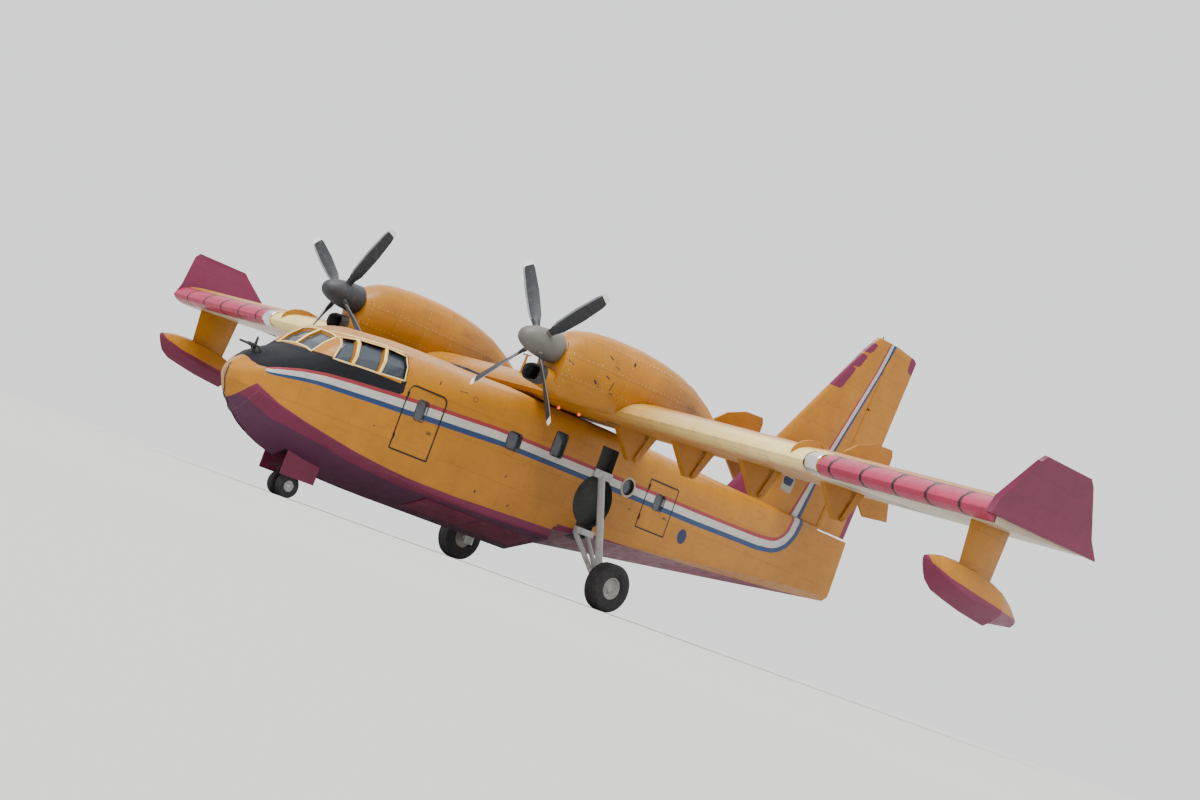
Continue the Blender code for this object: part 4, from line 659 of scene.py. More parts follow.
def brushed_steel(name, code, rough):
    """Machined or pressed steel: directional fine scratches and a few darker stains."""
    made, tree, shader, where = finish_named(name)
    drawn = add(tree, "Mapping", {"Vector": where, "Scale": (1, 1, 22)})
    lines = add(tree, "TexNoise", {"Vector": drawn, "Scale": 9.0, "Detail": 4})
    stain = add(tree, "TexNoise", {"Vector": where, "Scale": 3.0, "Detail": 4})
    dark = add(tree, "MapRange", {0: stain, 1: 0.45, 2: 0.8, 3: 0.0, 4: 0.55})
    colour = add(tree, "Mix", {0: dark, 6: tint(code), 7: tint("#55504a")}, data_type="RGBA", give=2)
    shader.inputs["Metallic"].default_value = 1.0
    rougher = add(tree, "MapRange", {0: lines, 3: rough - 0.08, 4: rough + 0.14})
    surfaced(tree, shader, colour, rougher, lines, 0.15, 0.001)
    return made


def exhaust_stain(piece):
    """Rust and soot low on a cowl's rear, thinning out over 1.3 m."""
    s, z = stations(piece.data)[:, 1:].T
    set_field(piece.data, "soot", 1.1 * np.clip(1 - np.hypot(s - 8.6, z - 4.35) / 1.3, 0, 1))


def bridge(bm, rings):
    """Faces between rings of places, each ring closed."""
    around = len(rings[0])
    for first, second in zip(rings, rings[1:]):
        for k in range(around):
            bm.faces.new((first[k], first[(k + 1) % around], second[(k + 1) % around], second[k]))


bare_steel = brushed_steel("brushed_bare_steel", "#b9bab8", 0.32)
# Darkened steel for the intake's duct: its dark tone is painted shade.
duct_steel_painted_shade = brushed_steel("pressed_steel_darkened_as_duct_shade", "#6d5a4d", 0.45)
for word, sign in (("left", 1), ("right", -1)):
    smooth_skin(f"nacelle_{word}", nacelle_paint, 0.14, 42, exhaust_stain)
    # The chin scoop: a flattened duct whose mouth opens ahead of the cowl, below the spinner.
    centre = sign * ENGINE_X
    bm = bmesh.new()
    rings = []
    # Each ring: station, height of its middle, half width and half depth; out, round the lip and in.
    for s, middle, half, deep in (
            (6.28, 4.02, 0.10, 0.04), (5.75, 4.03, 0.26, 0.17), (5.25, 4.08, 0.30, 0.215),
            (4.78, 4.12, 0.295, 0.205), (4.60, 4.12, 0.285, 0.190), (4.565, 4.12, 0.270, 0.175),
            (4.60, 4.12, 0.250, 0.155), (4.80, 4.12, 0.235, 0.145), (5.60, 4.10, 0.215, 0.13)):
        ways = [(math.cos(t), math.sin(t)) for t in [2 * math.pi * k / 28 for k in range(28)]]
        rings.append([bm.verts.new((centre + half * np.sign(a) * abs(a) ** 0.75, s + NOSE_Y,
                                    middle + deep * np.sign(b) * abs(b) ** 0.75)) for a, b in ways])
    bridge(bm, rings)
    bm.faces.new(rings[0][::-1])
    bm.faces.new(rings[-1])
    scoop = built(f"chin_scoop_{word}", bm, nacelle_paint, "yellow_paint")
    scoop.data.materials.append(black_seal)
    scoop.data.materials.append(duct_steel_painted_shade)
    rear = max(v.co.y for v in scoop.data.vertices)
    # The duct's inner faces and the scoop's rearmost face take the darkened steel, painted shade for the
    # duct's depth.
    for face in scoop.data.polygons:
        aside, high = face.center.x - centre, face.center.z - 4.11
        inner = abs(aside) < 0.26 and abs(high) < 0.165 and face.normal.z * high < 0
        if face.center.y - NOSE_Y < 4.72:
            face.material_index = 1
        elif inner or face.center.y == rear:
            face.material_index = 2

# The propellers: four broad composite blades with white tips and bright erosion strips, in a
# pointed spinner, grey to port and black to starboard. Each turns as one body.
BLADE_STATION, BLADE_RADII = 4.48, (0.42, 0.62, 1.2, 1.75, 1.985)
BLADE_TURN = {"left": -0.642, "right": -0.985}
for word, sign, hue, code in (("left", 1, "grey", "#5b5852"), ("right", -1, "black", "#2a2b30")):
    made, tree, shader, where = finish_named(f"polyurethane_on_{hue}_spinner_and_blades")
    radius = add(tree, "Attribute", attribute_name="reach", give="Fac")
    edge = add(tree, "Attribute", attribute_name="edge", give="Fac")
    scuff = add(tree, "TexNoise", {"Vector": where, "Scale": 7.0, "Detail": 5})
    colour = tint(code)
    for source, low, over in ((radius, 0.36, "#111319"), (edge, 0.0, "#77797d"), (radius, 1.86, "#dedcd4")):
        above = add(tree, "Math", {0: source, 1: low}, operation="GREATER_THAN")
        colour = add(tree, "Mix", {0: above, 6: colour, 7: tint(over)}, data_type="RGBA", give=2)
    dull = add(tree, "MapRange", {0: scuff, 1: 0.5, 2: 0.8, 3: 0.0, 4: 0.16})
    colour = add(tree, "Mix", {0: dull, 6: colour, 7: tint("#7d786f")}, data_type="RGBA", give=2)
    gloss = add(tree, "MapRange", {0: scuff, 3: 0.45, 4: 0.68})
    surfaced(tree, shader, colour, gloss, scuff, 0.1, 0.002)
    turning = smooth_skin(f"propeller_{word}", made, 0.09, 50, body=f"propeller_{word}", kind="blades",
                          slot=f"spinner_{hue}")
    co = stations(turning.data)
    across, up = co[:, 0] - sign * ENGINE_X, co[:, 2] - SHAFT_Z
    set_field(turning.data, "reach", np.hypot(across, up))
    # The erosion strip covers the front eighth of each blade's chord, outboard of its shank.
    strip = np.full(len(co), -1.0)
    farthest = np.zeros(len(co))
    for k in range(4):
        turn = BLADE_TURN[word] + k * math.pi / 2
        reach = across * math.sin(turn) + up * math.cos(turn)
        aside = across * math.cos(turn) - up * math.sin(turn)
        pitch = np.radians(np.interp(reach, BLADE_RADII, (55, 46, 33, 25, 22)))
        chord = np.interp(reach, BLADE_RADII, (0.17, 0.27, 0.31, 0.27, 0.16))
        share = (aside * np.cos(pitch) + (co[:, 1] - BLADE_STATION) * np.sin(pitch)) / chord
        ahead_of = (reach > farthest) & (reach > 0.5)
        strip = np.where(ahead_of, -share - 0.36, strip)
        farthest = np.maximum(farthest, reach)
    set_field(turning.data, "edge", strip)


# The tail: a tall fin and rudder, and a straight tailplane across it with plum tips and two
# finlets that straddle it. All are sheet over ribs, as the wing is.
fin_top_blocks = (((17.60, 8.42), (17.84, 8.73), (18.13, 8.71), (18.02, 8.46)),
                  ((17.18, 7.93), (17.54, 8.34), (17.91, 8.35), (17.71, 7.96)),
                  ((16.80, 7.26), (17.14, 7.84), (17.61, 7.86), (17.30, 7.27)))


def tail_livery(piece):
    """The hull's fields carried up the fin, with the plum blocks on its leading edge, foot and toe."""
    livery(piece)
    side = stations(piece.data)[:, 1:]
    s, z = side.T
    painted = [within(side, block) for block in fin_blocks + fin_top_blocks]
    foot = np.minimum(s - (19.19 + (z - 3.78) * 0.086), 5.10 - z)
    toe = within(side, ((19.56, 8.45), (19.56, 9.1), (20.1, 9.1), (20.1, 8.30)))
    set_field(piece.data, "plum", np.max([*painted, foot, toe], axis=0))


for node, body in (("fin", "airframe"), ("rudder", "rudder")):
    smooth_skin(node, side_paint, 0.14, 30, tail_livery, body)

TAIL_Z = 5.42


def tailplane_livery(piece):
    """Plum tips, and a bare cream underside outboard of the root."""
    co = stations(piece.data)
    x, s = abs(co[:, 0]), co[:, 1]
    set_field(piece.data, "plum", x - np.interp(s, (15.8, 18.6), (4.62, 4.98)))
    set_field(piece.data, "cream", np.minimum(np.minimum(TAIL_Z - 0.03 - co[:, 2], x - 2.30), s - 16.25))


smooth_skin("tailplane", wing_paint, 0.20, 30, tailplane_livery)
for node in ("elevator_left", "elevator_right"):
    smooth_skin(node, wing_paint, 0.20, 30, tailplane_livery, node)
for node in ("finlet_left", "finlet_right"):
    smooth_skin(node, side_paint, 0.20, 30)

# The landing gear: forged and painted legs with bright piston rods, and tyres on bolted
# magnesium rims. The wheels turn on their axles, so tyre, rim and bolts ride on each wheel.

# Moulded tyre rubber: nearly black, scuffed grey where it runs, matt all over.
tyre_rubber = weathered("moulded_tyre_rubber", "#25252a", "#4d4a48", (9.0, 6, 0.5), (0.4, 0.75, 0.5),
                        (0.7, 0.95), (0.3, 0.002, 120.0))


def enamelled_forging(name, code):
    """Gloss enamel over a forging: rounded, slightly dirty, with dust in the lower tones."""
    return weathered(name, code, "#4a4540", (5.0, 6, 0.7), (0.5, 0.8, 0.6), (0.3, 0.6), (0.15, 0.002))


rim_enamel = enamelled_forging("enamelled_magnesium_rim", "#a7a8a6")
leg_enamel = enamelled_forging("enamelled_forged_steel_leg", "#a9abab")


def turned(profile, centre_x, station, height, steps):
    """A closed outline of (distance along the axle, radius) turned about an axle along x."""
    bm = bmesh.new()
    rows = []
    for t in [2 * math.pi * k / steps for k in range(steps)]:
        y, z = math.sin(t), math.cos(t)
        rows.append([bm.verts.new((centre_x + a, station + NOSE_Y + r * y, height + r * z))
                     for a, r in profile])
    bridge(bm, rows + rows[:1])
    return bm


def new_tree(name, *sizes):
    """A geometry tree with its named inputs: the base, sizes with their defaults, and the finish."""
    tree = bpy.data.node_groups.new(name, "GeometryNodeTree")
    for label, kind, usual in (("Geometry", "Geometry", None), *sizes, ("Finish", "Material", None)):
        socket = tree.interface.new_socket(label, in_out="INPUT", socket_type=f"NodeSocket{kind}")
        if usual is not None:
            socket.default_value = usual
    tree.interface.new_socket("Geometry", in_out="OUTPUT", socket_type="NodeSocketGeometry")
    return tree, add(tree, "NodeGroupInput", give=None)


def end_tree(tree, copies, finish):
    """Makes a tree's copies real, gives them their finish and puts them out."""
    real = add(tree, "GeometryNodeRealizeInstances", {0: copies})
    painted = add(tree, "GeometryNodeSetMaterial", {"Geometry": real, "Material": finish})
    add(tree, "NodeGroupOutput", {0: painted})


# A ring of bolt heads: a tree that sets hexagonal heads round an axle along x.
bolt_ring, given = new_tree("ring_of_bolt_heads", ("Bolts", "Int", 8), ("Ring radius", "Float", 0.1),
                            ("Head radius", "Float", 0.01))
ring = add(bolt_ring, "GeometryNodeMeshCircle", {"Vertices": given["Bolts"], "Radius": given["Ring radius"]})
size = given["Head radius"]
head = add(bolt_ring, "GeometryNodeMeshCone",
           {"Vertices": 6, "Radius Top": size, "Radius Bottom": size, "Depth": size})
spread = add(bolt_ring, "GeometryNodeInstanceOnPoints", {"Points": ring, "Instance": head})
end_tree(bolt_ring, spread, given["Finish"])


def grown(tree, base, settings, name):
    """The plain mesh that a tree makes on a base mesh, with its inputs set by their identifiers."""
    holder = bpy.data.objects.new(name, base)
    bpy.context.scene.collection.objects.link(holder)
    modifier = holder.modifiers.new(tree.name, "NODES")
    modifier.node_group = tree
    for item in tree.interface.items_tree:
        if item.in_out == "INPUT" and item.name in settings:
            modifier[item.identifier] = settings[item.name]
    graph = bpy.context.evaluated_depsgraph_get()
    made = bpy.data.meshes.new_from_object(holder.evaluated_get(graph))
    bpy.data.objects.remove(holder)
    return made


for node, x, station, radius, width, hub, bore, body, grooves in (
        ("main_wheel_left", 2.64, 9.50, 0.538, 0.38, 0.235, 0.058, "main_wheel_left", 4),
        ("main_wheel_right", -2.64, 9.50, 0.538, 0.38, 0.235, 0.058, "main_wheel_right", 4),
        ("nose_wheel_left", 0.15, 2.27, 0.25, 0.17, 0.115, 0.034, "nose_wheels", 2),
        ("nose_wheel_right", -0.15, 2.27, 0.25, 0.17, 0.115, 0.034, "nose_wheels", 2)):
    half = width / 2
    # The tread: lands between grooves, over the middle 62 per cent of the tyre's width.
    tread = half * 0.62
    land = tread / grooves * 0.72
    crown = []
    for k in range(grooves + 1):
        middle = -tread + 2 * tread * k / grooves
        drop = radius * 0.012 * (abs(middle) / half) ** 2
        crown += [(middle - land, radius - drop), (middle + land, radius - drop)]
        if k < grooves:
            crown += [(middle + land + 0.004, radius * 0.978),
                      (middle + 2 * tread / grooves - land - 0.004, radius * 0.978)]
    wall = [(half * 0.86, radius * 0.965), (half * 0.985, radius * 0.88), (half, radius * 0.76),
            (half * 0.96, radius * 0.62), (half * 0.84, hub * 1.10), (half * 0.74, hub),
            (half * 0.50, hub * 0.97)]
    dish = [(half * 0.80, hub * 1.03), (half * 0.84, hub * 0.98), (half * 0.62, hub * 0.90),
            (half * 0.42, hub * 0.80), (half * 0.36, hub * 0.55), (half * 0.62, hub * 0.40),
            (half * 0.66, bore + 0.002)]
    tyre_line = crown + wall + [(-a, r) for a, r in reversed(wall)]
    rim_line = dish + [(-a, r) for a, r in reversed(dish)]
    built(f"{node}_tyre", turned(tyre_line, x, station, radius, 72), tyre_rubber, "tyre_rubber", body, node)
    built(f"{node}_rim", turned(rim_line, x, station, radius, 48), rim_enamel, "leg_steel", body)
    ring_sizes = {"Bolts": 10, "Ring radius": hub * 0.66, "Head radius": radius * 0.022, "Finish": bare_steel}
    for side, flank in (("out", 1), ("in", -1)):
        heads = grown(bolt_ring, bpy.data.meshes.new("bolt_seat"), ring_sizes, "bolt_seat")
        seat = Matrix.Translation((x + flank * half * 0.40, station + NOSE_Y, radius))
        heads.transform(seat @ Matrix.Rotation(math.pi / 2, 4, "Y"))
        fitted(shown(f"{node}_bolts_{side}", heads), body, "leg_steel")
for node in ("main_leg_left", "main_leg_right", "nose_post"):
    smooth_skin(node, leg_enamel, 0.5, 35, slot="leg_steel", kind="forging")
smooth_skin("nose_fork", bare_steel, 0.5, 35, body="nose_fork", slot="fork_steel", kind="forging")

# The nose bay's doors, which the leg holds open, and the four drop doors: pressed plum sheet.
for word in ("left", "right"):
    smooth_skin(f"nose_bay_door_{word}", side_paint, 0.3, 25, plum_all_over, slot="plum_paint")
    for door in (f"drop_door_fore_{word}", f"drop_door_rear_{word}"):
        smooth_skin(door, side_paint, 0.3, 25, plum_all_over, door, "plum_paint")

# Small fittings on the airframe: mast, aerial fairing, probes, fences, lamps, beacons and vents.
# They are pressed sheet or cast alloy, bolted to the skin and painted.


def slab(bm, outline, axis, low, high, bevel=0.004):
    """A flat outline given thickness along one axis, with its edges eased."""
    across = axis == "x"
    points = [(low, a + NOSE_Y, b) if across else (a, b + NOSE_Y, low) for a, b in outline]
    push = (high - low, 0, 0) if across else (0, 0, high - low)
    face = bm.faces.new([bm.verts.new(p) for p in points])
    made = bmesh.ops.extrude_face_region(bm, geom=[face])["geom"]
    verts = [g for g in made if isinstance(g, bmesh.types.BMVert)]
    bmesh.ops.translate(bm, vec=push, verts=verts)
    bm.edges.index_update()
    edges = sorted({e for v in verts for e in v.link_edges} | set(face.edges), key=lambda e: e.index)
    bmesh.ops.bevel(bm, geom=edges, offset=bevel, segments=2, affect="EDGES", profile=0.6)


def tube(bm, path, radius, sides=12):
    """A round bar through places given as (x, station, height)."""
    aside = Vector((0.03, 0.9, 0.3)).normalized()
    bead(bm, [(Vector((x, s + NOSE_Y, z)), aside) for x, s, z in path], radius, False, sides, 1.0)


# Over the flight deck: a T-shaped aerial mast, and the dark fibreglass fairing of an aerial.
bm = bmesh.new()
slab(bm, [(7.24, 3.93), (7.40, 3.93), (7.34, 4.80), (7.29, 4.80)], "x", -0.012, 0.012)
tube(bm, [(-0.13, 7.31, 4.80), (0.13, 7.31, 4.80)], 0.018, 10)
built("deck_mast", bm, side_paint, "yellow_paint")
bm = bmesh.new()
slab(bm, rounded_box((-0.42, 5.35), (0.42, 6.05), 0.16), "z", 3.86, 3.965, 0.02)
built("dark_aerial_fairing", bm, moulded_seal("sprayed_black_aerial_fairing", "#2b2b30", 0.5))
# At the bow's top: two black air probes on short arms, a bar between them and a bollard.
bm = bmesh.new()
for side in (1, -1):
    arm = ((0.13, 0.52, 2.58), (0.15, 0.44, 2.68), (0.15, 0.30, 2.70), (0.15, 0.13, 2.70))
    tube(bm, [(side * x, s, z) for x, s, z in arm], 0.026)
tube(bm, [(-0.16, 0.40, 2.69), (0.16, 0.40, 2.69)], 0.022)
slab(bm, [(0.36, 2.50), (0.46, 2.50), (0.45, 2.86), (0.41, 2.90)], "x", -0.014, 0.014, 0.003)
built("bow_probes", bm, black_seal)
# On the wing's upper side, just inboard of each lamp: a thin fence with a domed top.
bm = bmesh.new()
dome = [(7.62 - 0.72 * math.cos(t), 4.16 + 0.40 * math.sin(t)) for t in np.linspace(0.25, math.pi * 0.92, 14)]
for low in (8.88, -8.91):
    slab(bm, [(6.90, 4.16), *dome, (8.35, 4.30)], "x", low, low + 0.03, 0.006)
built("wing_fences", bm, side_paint, "yellow_paint")
# The landing lamps: bright reflectors that follow the leading edge, as their clear covers do.
bm = bmesh.new()
for side in (1, -1):
    rows = []
    for x in np.linspace(LAMP_X - 0.16, LAMP_X + 0.19, 6):
        row = []
        for t in np.linspace(-0.48, 0.62, 12):
            rise = (0.305 if t > 0 else 0.215) * np.sign(t) * abs(math.sin(t * 1.9)) ** 0.9
            row.append(bm.verts.new((side * x, WING_NOSE - 0.008 + 0.945 * t * t + NOSE_Y, WING_Z + rise)))
        rows.append(row)
    for first, second in zip(rows, rows[1:]):
        for k in range(11):
            bm.faces.new((first[k], first[k + 1], second[k + 1], second[k]))
reflector = brushed_steel("polished_lamp_reflector", "#d2d0ca", 0.14)
lamps = built("landing_lamp_covers", bm, reflector, "leg_steel")
wall = lamps.modifiers.new("wall", "SOLIDIFY")
wall.thickness = 0.006
# Red beacons under the wing's root: ribbed moulded lenses, lit.
bm = bmesh.new()
for x, s in ((1.55, 7.35), (-1.55, 7.35), (1.95, 7.62), (-1.95, 7.62)):
    seat = Matrix.Translation((x, s + NOSE_Y, 3.845))
    bmesh.ops.create_uvsphere(bm, u_segments=16, v_segments=8, radius=0.035, matrix=seat)
made, tree, shader, where = finish_named("moulded_red_lamp_lens")
ribs = add(tree, "TexWave", {"Vector": where, "Scale": 40.0}, give=1)
glow = add(tree, "Mix", {0: ribs, 6: tint("#d81f18"), 7: tint("#ff5a3c")}, data_type="RGBA", give=2)
tree.links.new(glow, shader.inputs["Base Color"])
tree.links.new(glow, shader.inputs["Emission Color"])
shader.inputs["Emission Strength"].default_value = 1.6
shader.inputs["Roughness"].default_value = 0.12
built("red_beacons", bm, made, "glazing")

# The stem band: a black rubber rubbing strip up the bow's centreline, from the keel to the cap.
bm = bmesh.new()
stem = on_skin(hull, [(0.0, z) for z in np.arange(2.20, 0.96, -0.05)], "front")
bead(bm, stem, 0.030, False, 8, 0.12)
built("stem_rubbing_band", bm, black_seal)

# Vents, drains and access slots: pressed louvres and small holes in cowls and hull, drawn as black beads on
# the skin, painted shade for their dark insides.
# Each row is a station, a height, its half run along each, and its half width.
cowl_vents = ((5.87, 4.40, 0.05, -0.03, 0.022), (6.13, 4.59, 0.06, -0.02, 0.014),
              (6.33, 4.45, 0.01, 0.10, 0.014), (6.75, 5.07, 0.025, 0.0, 0.040),
              (6.08, 5.00, 0.06, -0.03, 0.015), (6.31, 4.85, 0.06, -0.02, 0.012),
              (5.14, 4.58, 0.07, -0.03, 0.013), (5.01, 4.85, 0.02, 0.10, 0.010),
              (5.98, 4.36, 0.02, -0.05, 0.010), (6.40, 4.30, 0.05, 0.0, 0.012))
hull_vents = ((6.13, 1.50, 0.02, 0.0, 0.030), (6.82, 2.04, 0.02, 0.03, 0.016),
              (7.14, 1.47, 0.02, 0.03, 0.014), (10.70, 2.40, 0.03, 0.0, 0.018),
              (4.28, 3.36, 0.01, 0.04, 0.016), (4.96, 3.38, 0.12, 0.01, 0.009),
              (12.9, 2.95, 0.02, 0.0, 0.012), (3.0, 2.02, 0.02, 0.0, 0.014))
bm = bmesh.new()
for skin, start, places in ((bpy.data.objects["nacelle_left_skin"], 6, cowl_vents), (hull, 3, hull_vents)):
    for s, z, run, rise, wide in places:
        line = even([(s - run, z - rise), (s, z), (s + run, z + rise)], 0.04, False)
        beads(bm, on_skin(skin, line, start=start), wide, False, 8, 0.25)
turns = np.linspace(0, 2 * math.pi, 13)[:-1]
cap = on_skin(hull, [(5.31 + 0.055 * math.cos(t), 3.33 + 0.055 * math.sin(t)) for t in turns])
beads(bm, cap, 0.008, True, 8, 0.3)
beads(bm, on_skin(wing, even([(2.74, 7.72), (2.88, 8.02)], 0.05, False), "below"), 0.045, False, 8, 0.3)
# The black beads stand for the shaded insides of the vents and drains: painted shade.
built("vents_and_drains_painted_shade", bm, black_seal)


# The flight deck behind its windows. Two pilot seats: foam cushions in sewn wool covers, on pans
# of sheet in dull primer, with webbing harness. A cloth simulation puffs the cushions.


def woven_wool(name, code, thread=160.0):
    """Twill of 2 mm wool threads: matt, slightly fuzzy at grazing light, paler where it is worn."""
    made, tree, shader, where = finish_named(name)
    warp, weft = (add(tree, "TexWave", {"Vector": where, "Scale": thread, "Distortion": 0.6},
                      bands_direction=way, give=1) for way in ("X", "DIAGONAL"))
    threads = add(tree, "Math", {0: warp, 1: weft}, operation="MULTIPLY")
    worn = add(tree, "TexNoise", {"Vector": where, "Scale": 5.0, "Detail": 4})
    base = add(tree, "Mix", {0: worn, 6: tint(code), 7: tint("#55585c")}, data_type="RGBA", give=2)
    lit = add(tree, "MapRange", {0: threads, 3: 0.75, 4: 1.1})
    colour = add(tree, "VectorMath", {0: base, "Scale": lit}, operation="SCALE")
    fuzz = add(tree, "MapRange", {0: threads, 3: 0.82, 4: 0.95})
    shader.inputs["Sheen Weight"].default_value = 0.3
    surfaced(tree, shader, colour, fuzz, threads, 0.4, 0.001)
    return made


def puffed(name, low, high, seams, along):
    """A cushion's cover: an eased box, pressed out by its foam, then drawn in at sewn channels."""
    low, high = np.array(low), np.array(high)
    centre, half = (low + high) / 2, (high - low) / 2 - 0.010
    thin = int(np.argmin(half))
    bm = bmesh.new()
    bmesh.ops.create_cube(bm, size=2)
    bmesh.ops.subdivide_edges(bm, edges=bm.edges[:], cuts=9, use_grid_fill=True)
    for v in bm.verts:
        reach = sum(abs(c) ** 7 for c in v.co) ** (1 / 7)
        p = v.co * max(abs(c) for c in v.co) / reach
        v.co = Vector(centre + np.array(p) * half)
    body = bpy.data.objects.new(name + "_foam", closed_mesh(name + "_foam", bm))
    bpy.context.scene.collection.objects.link(body)
    evened = body.modifiers.new("even", "REMESH")
    evened.mode, evened.voxel_size = "VOXEL", 0.007
    body.data = bpy.data.meshes.new_from_object(body.evaluated_get(bpy.context.evaluated_depsgraph_get()))
    body.modifiers.clear()
    flat = points_of(body.data)
    cover = flat
    cloth = body.modifiers.new("cover", "CLOTH")
    cloth.settings.use_pressure = True
    cloth.settings.uniform_pressure_force = 4.0
    cloth.settings.effector_weights.gravity = 0.0
    for step in range(1, 21):
        bpy.context.scene.frame_set(step)
    pressed = bpy.data.meshes.new_from_object(body.evaluated_get(bpy.context.evaluated_depsgraph_get()))
    moved = points_of(pressed) - flat
    far = np.linalg.norm(moved, axis=1, keepdims=True)
    cover = flat + moved * np.minimum(1, 0.016 / np.maximum(far, 1e-6))
    bpy.context.scene.frame_set(1)
    channel = sum(np.exp(-((cover[:, along] - seam) / 0.012) ** 2) for seam in seams)
    cover[:, thin] += (centre[thin] - cover[:, thin]) * 0.30 * channel
    cover = np.clip(cover, low, high)
    mesh = body.data
    mesh.vertices.foreach_set("co", cover.ravel())
    bpy.data.objects.remove(body)
    mesh.shade_smooth()
    return mesh


seat_cloth = woven_wool("woven_wool_seat_cover", "#26292b")
webbing = woven_wool("woven_grey_harness_webbing", "#6d6f6c", 90.0)
cushion_low, cushion_high = (0.255, 2.455 + NOSE_Y, 2.343), (0.685, 2.845 + NOSE_Y, 2.449)
back_low, back_high = (0.255, 2.848 + NOSE_Y, 2.46), (0.685, 2.935 + NOSE_Y, 3.07)
seat_covers = {"seat_cushion": puffed("seat_cushion", cushion_low, cushion_high, (0.36, 0.58), 0),
               "seat_back_cushion": puffed("seat_back_cushion", back_low, back_high, (2.66, 2.86), 2)}
for word, shift in (("left", 0.0), ("right", -0.94)):
    for kind, cover in seat_covers.items():
        mesh = cover.copy()
        mesh.transform(Matrix.Translation((shift, 0, 0)))
        cushion = shown(f"{kind}_{word}", mesh, seat_cloth)
        finer = cushion.modifiers.new("finer", "SUBSURF")
        finer.levels = finer.render_levels = 1
        fitted(cushion, "airframe", "seat_cloth")
    bm = bmesh.new()
    x = 0.47 + shift
    shell = [(2.452, 2.330), (2.968, 2.330), (2.968, 3.03), (2.945, 3.06), (2.940, 2.341), (2.452, 2.341)]
    slab(bm, shell, "x", x - 0.205, x + 0.205, 0.003)
    for at in (x - 0.16, x + 0.14):
        slab(bm, [(2.50, 1.953), (2.86, 1.953), (2.80, 2.33), (2.56, 2.33)], "x", at, at + 0.02, 0.003)
    tube(bm, [(x - 0.15, 2.68, 2.12), (x + 0.15, 2.68, 2.12)], 0.02)
    built(f"seat_pan_{word}", bm, dark_primer, "seat_cloth", "airframe", f"seat_{word}")
    bm = bmesh.new()
    for side in (-0.09, 0.09):
        ways = ((2.955, 3.00), (2.93, 3.078), (2.88, 3.075), (2.845, 3.02), (2.838, 2.80), (2.832, 2.55),
                (2.80, 2.462), (2.66, 2.456))
        trail = [(Vector((x + side * (1.0 - 0.3 * (k > 4)), s + NOSE_Y, z)),
                  Vector((0, -0.8, 0.6) if k > 5 else (0, -1, 0.02))) for k, (s, z) in enumerate(ways)]
        bead(bm, trail, 0.024, False, 8, 0.1)
    lap = [(Vector((x + at, 2.66 + NOSE_Y, 2.458)), Vector((0, 0, 1)))
           for at in (-0.21, -0.1, 0.0, 0.1, 0.21)]
    bead(bm, lap, 0.024, False, 8, 0.1)
    built(f"harness_{word}", bm, webbing, "seat_cloth")

# The matt black instrument panel with three rows of round dials in dark grey bezels, and the two
# control columns with their half-round wheels.
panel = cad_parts["instrument_panel"]
panel.data.materials.clear()
panel.data.materials.append(moulded_seal("sprayed_matt_black_panel", "#151517", 0.75))
bm = bmesh.new()
for row, height in enumerate((2.66, 2.55, 2.44)):
    for x in np.linspace(-0.66, 0.66, 11):
        if abs(x) > 0.2 or row < 2:
            faced = Matrix.Translation((x, 1.902 + NOSE_Y, height)) @ Matrix.Rotation(math.pi / 2, 4, "X")
            bmesh.ops.create_cone(bm, cap_ends=True, segments=20, radius1=0.042, radius2=0.036, depth=0.008,
                                  matrix=faced)
for x in (0.47, -0.47):
    tube(bm, [(x, 2.18, 1.955), (x, 2.14, 2.40), (x, 2.20, 2.55)], 0.018, 10)
    turns = np.linspace(math.pi * 0.95, math.pi * 2.05, 12)
    tube(bm, [(x + 0.14 * math.cos(t), 2.205, 2.60 + 0.09 * math.sin(t)) for t in turns], 0.013, 10)
built("dials_and_control_wheels", bm, moulded_seal("moulded_dark_grey_bezels", "#3b3d40", 0.5))

# Rivets: domed aluminium heads along the frames and stringers of the hull and the spars and ribs
# of the wing. One tree spaces them along trails laid on each skin.
rivet_rows, given = new_tree("rows_of_rivets", ("Spacing", "Float", 0.08), ("Head radius", "Float", 0.008))
size = given["Head radius"]
curve = add(rivet_rows, "GeometryNodeMeshToCurve", {0: given["Geometry"]})
spaced = add(rivet_rows, "GeometryNodeResampleCurve", {"Curve": curve, "Length": given["Spacing"]},
             mode="LENGTH")
out = add(rivet_rows, "GeometryNodeInputNamedAttribute", {"Name": "out"}, data_type="FLOAT_VECTOR")
turned_out = add(rivet_rows, "FunctionNodeAlignRotationToVector", {"Vector": out}, axis="Z")
low_head, narrow = (add(rivet_rows, "Math", {0: size, 1: share}, operation="MULTIPLY")
                    for share in (0.4, 0.55))
dome = add(rivet_rows, "GeometryNodeMeshCone",
           {"Vertices": 6, "Radius Top": narrow, "Radius Bottom": size, "Depth": low_head})
set_on = add(rivet_rows, "GeometryNodeInstanceOnPoints",
             {"Points": spaced, "Instance": dome, "Rotation": turned_out})
end_tree(rivet_rows, set_on, given["Finish"])


def cast(piece, starts, way):
    """The places and normals where rays from these starts first meet a skin."""
    tree = BVHTree.FromObject(piece, bpy.context.evaluated_depsgraph_get())
    met = [tree.ray_cast(Vector(start), Vector(way)) for start in starts]
    faces = piece.data.polygons
    return [(None, None) if hit[0] is None or faces[hit[2]].material_index else hit[:2] for hit in met]


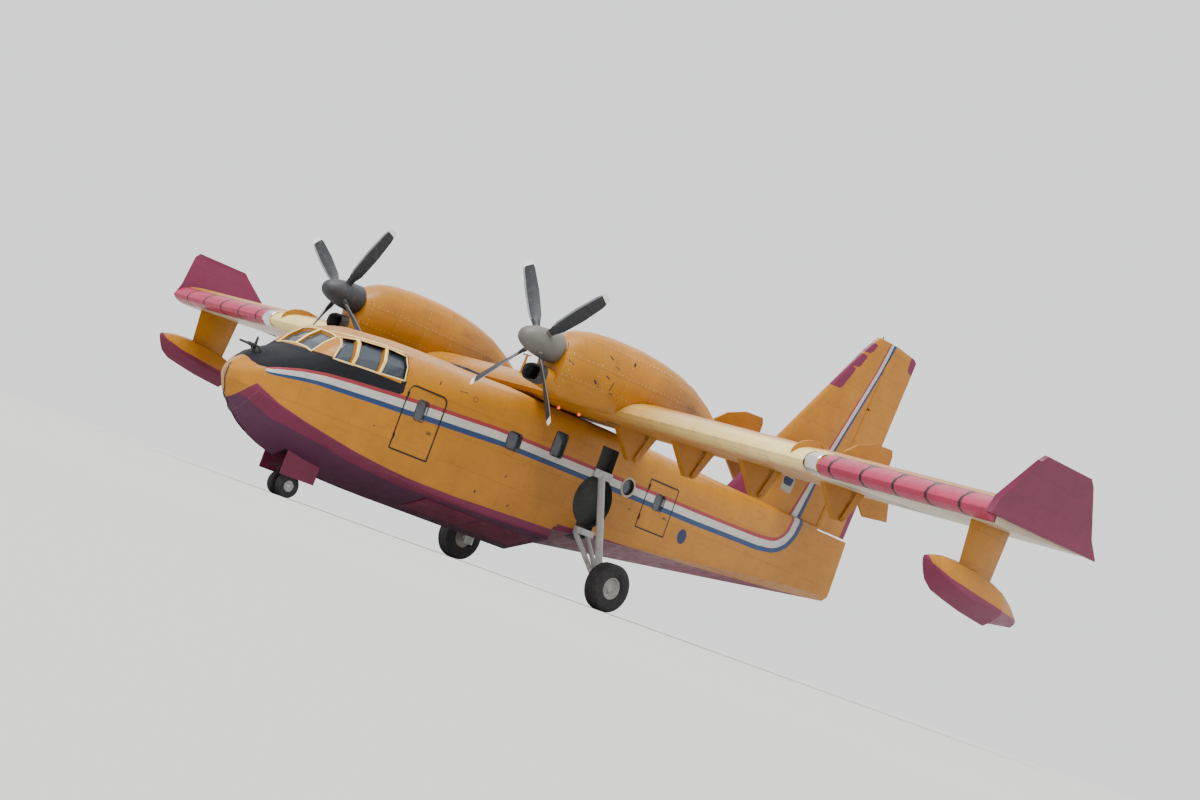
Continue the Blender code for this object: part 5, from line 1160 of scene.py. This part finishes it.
def trails_mesh(name, rows, keep):
    """Trails as bare edges, each broken where the skin does, with the outward direction stored."""
    places, edges, outs = [], [], []
    for row in rows:
        last = None
        for point, normal in row:
            if point is None or not keep(point, normal):
                last = None
                continue
            places.append(point)
            outs.append(normal)
            if last is not None and (places[last] - point).length < 0.26:
                edges.append((last, len(places) - 1))
            last = len(places) - 1
    mesh = bpy.data.meshes.new(name)
    mesh.from_pydata(places, edges, [])
    held = mesh.attributes.new("out", "FLOAT_VECTOR", "POINT")
    held.data.foreach_set("vector", np.array(outs, np.float32).ravel())
    return mesh


def riveted(name, rows, keep, fields, finish, slot="yellow_paint", body="airframe", spacing=0.08,
            radius=0.008):
    """The rivets of a set of trails as one mesh that moves with a body."""
    sizes = {"Spacing": spacing, "Head radius": radius, "Finish": finish}
    heads = shown(name, grown(rivet_rows, trails_mesh(name, rows, keep), sizes, name))
    if fields:
        fields(heads)
    fitted(heads, body, slot)


def line_of(start, run, count, axis):
    """Evenly spaced starts from a place given as (x, station, height), along one axis."""
    way = np.eye(3)[axis] * run
    return [tuple(np.array(start) + (0, NOSE_Y, 0) + way * k / count) for k in range(count + 1)]


rows = []
for side in (1, -1):
    for station in np.arange(0.96, 18.2, 0.625):
        low = float(np.interp(station, (0.9, 8.6, 18), (1.25, 1.0, 2.0)))
        rows.append(cast(hull, line_of((side * 3, station, low), 3.85 - low, 25, 2), (-side, 0, 0)))
    for height in (1.86, 2.48, 3.10):
        rows.append(cast(hull, line_of((side * 3, 1.2, height), 17.2, 100, 1), (-side, 0, 0)))
riveted("hull_rivets", rows, lambda p, n: abs(p.x) > 0.25 and n.x * p.x > 0.3 * abs(p.x), livery, side_paint)
for word, up in (("upper", 1), ("lower", -1)):
    rows = []
    for side in (1, -1):
        for chord in (0.16, 0.55, 1.15, 1.75, 2.30):
            starts = line_of((side * 1.5, WING_NOSE + chord, WING_Z + 4 * up), side * 12.2, 50, 0)
            rows.append(cast(wing, starts, (0, 0, -up)))
        for x in np.arange(1.65, 13.8, 0.55):
            starts = line_of((side * x, WING_NOSE + 0.1, WING_Z + 4 * up), 2.25, 25, 1)
            rows.append(cast(wing, starts, (0, 0, -up)))
    riveted(f"wing_{word}_rivets", rows, lambda p, n: abs(n.z) > 0.35 and abs(p.z - WING_Z) < 0.42,
            wing_livery, wing_paint)
for word, side in (("left", 1), ("right", -1)):
    cowl = bpy.data.objects[f"nacelle_{word}_skin"]
    rows = []
    for flank in (1, -1):
        outer = side * ENGINE_X + 2 * flank
        for height in (4.30, 4.75, 5.20):
            rows.append(cast(cowl, line_of((outer, 5.05, height), 4.9, 25, 1), (-flank, 0, 0)))
        for station in (5.15, 5.9, 6.7, 7.5, 8.3, 9.1):
            rows.append(cast(cowl, line_of((outer, station, 3.95), 1.5, 25, 2), (-flank, 0, 0)))
    riveted(f"cowl_fasteners_{word}", rows, lambda p, n: abs(n.x) > 0.35, None, bare_steel, "leg_steel",
            spacing=0.12, radius=0.009)
for node, body in (("fin", "airframe"), ("rudder", "rudder")):
    skin = bpy.data.objects[f"{node}_skin"]
    rows = [cast(skin, line_of((side * 2, 14.2, height), 5.8, 25, 1), (-side, 0, 0))
            for side in (1, -1) for height in np.arange(4.0, 8.8, 0.45)]
    riveted(f"{node}_rivets", rows, lambda p, n: abs(n.x) > 0.5, tail_livery, side_paint, body=body)
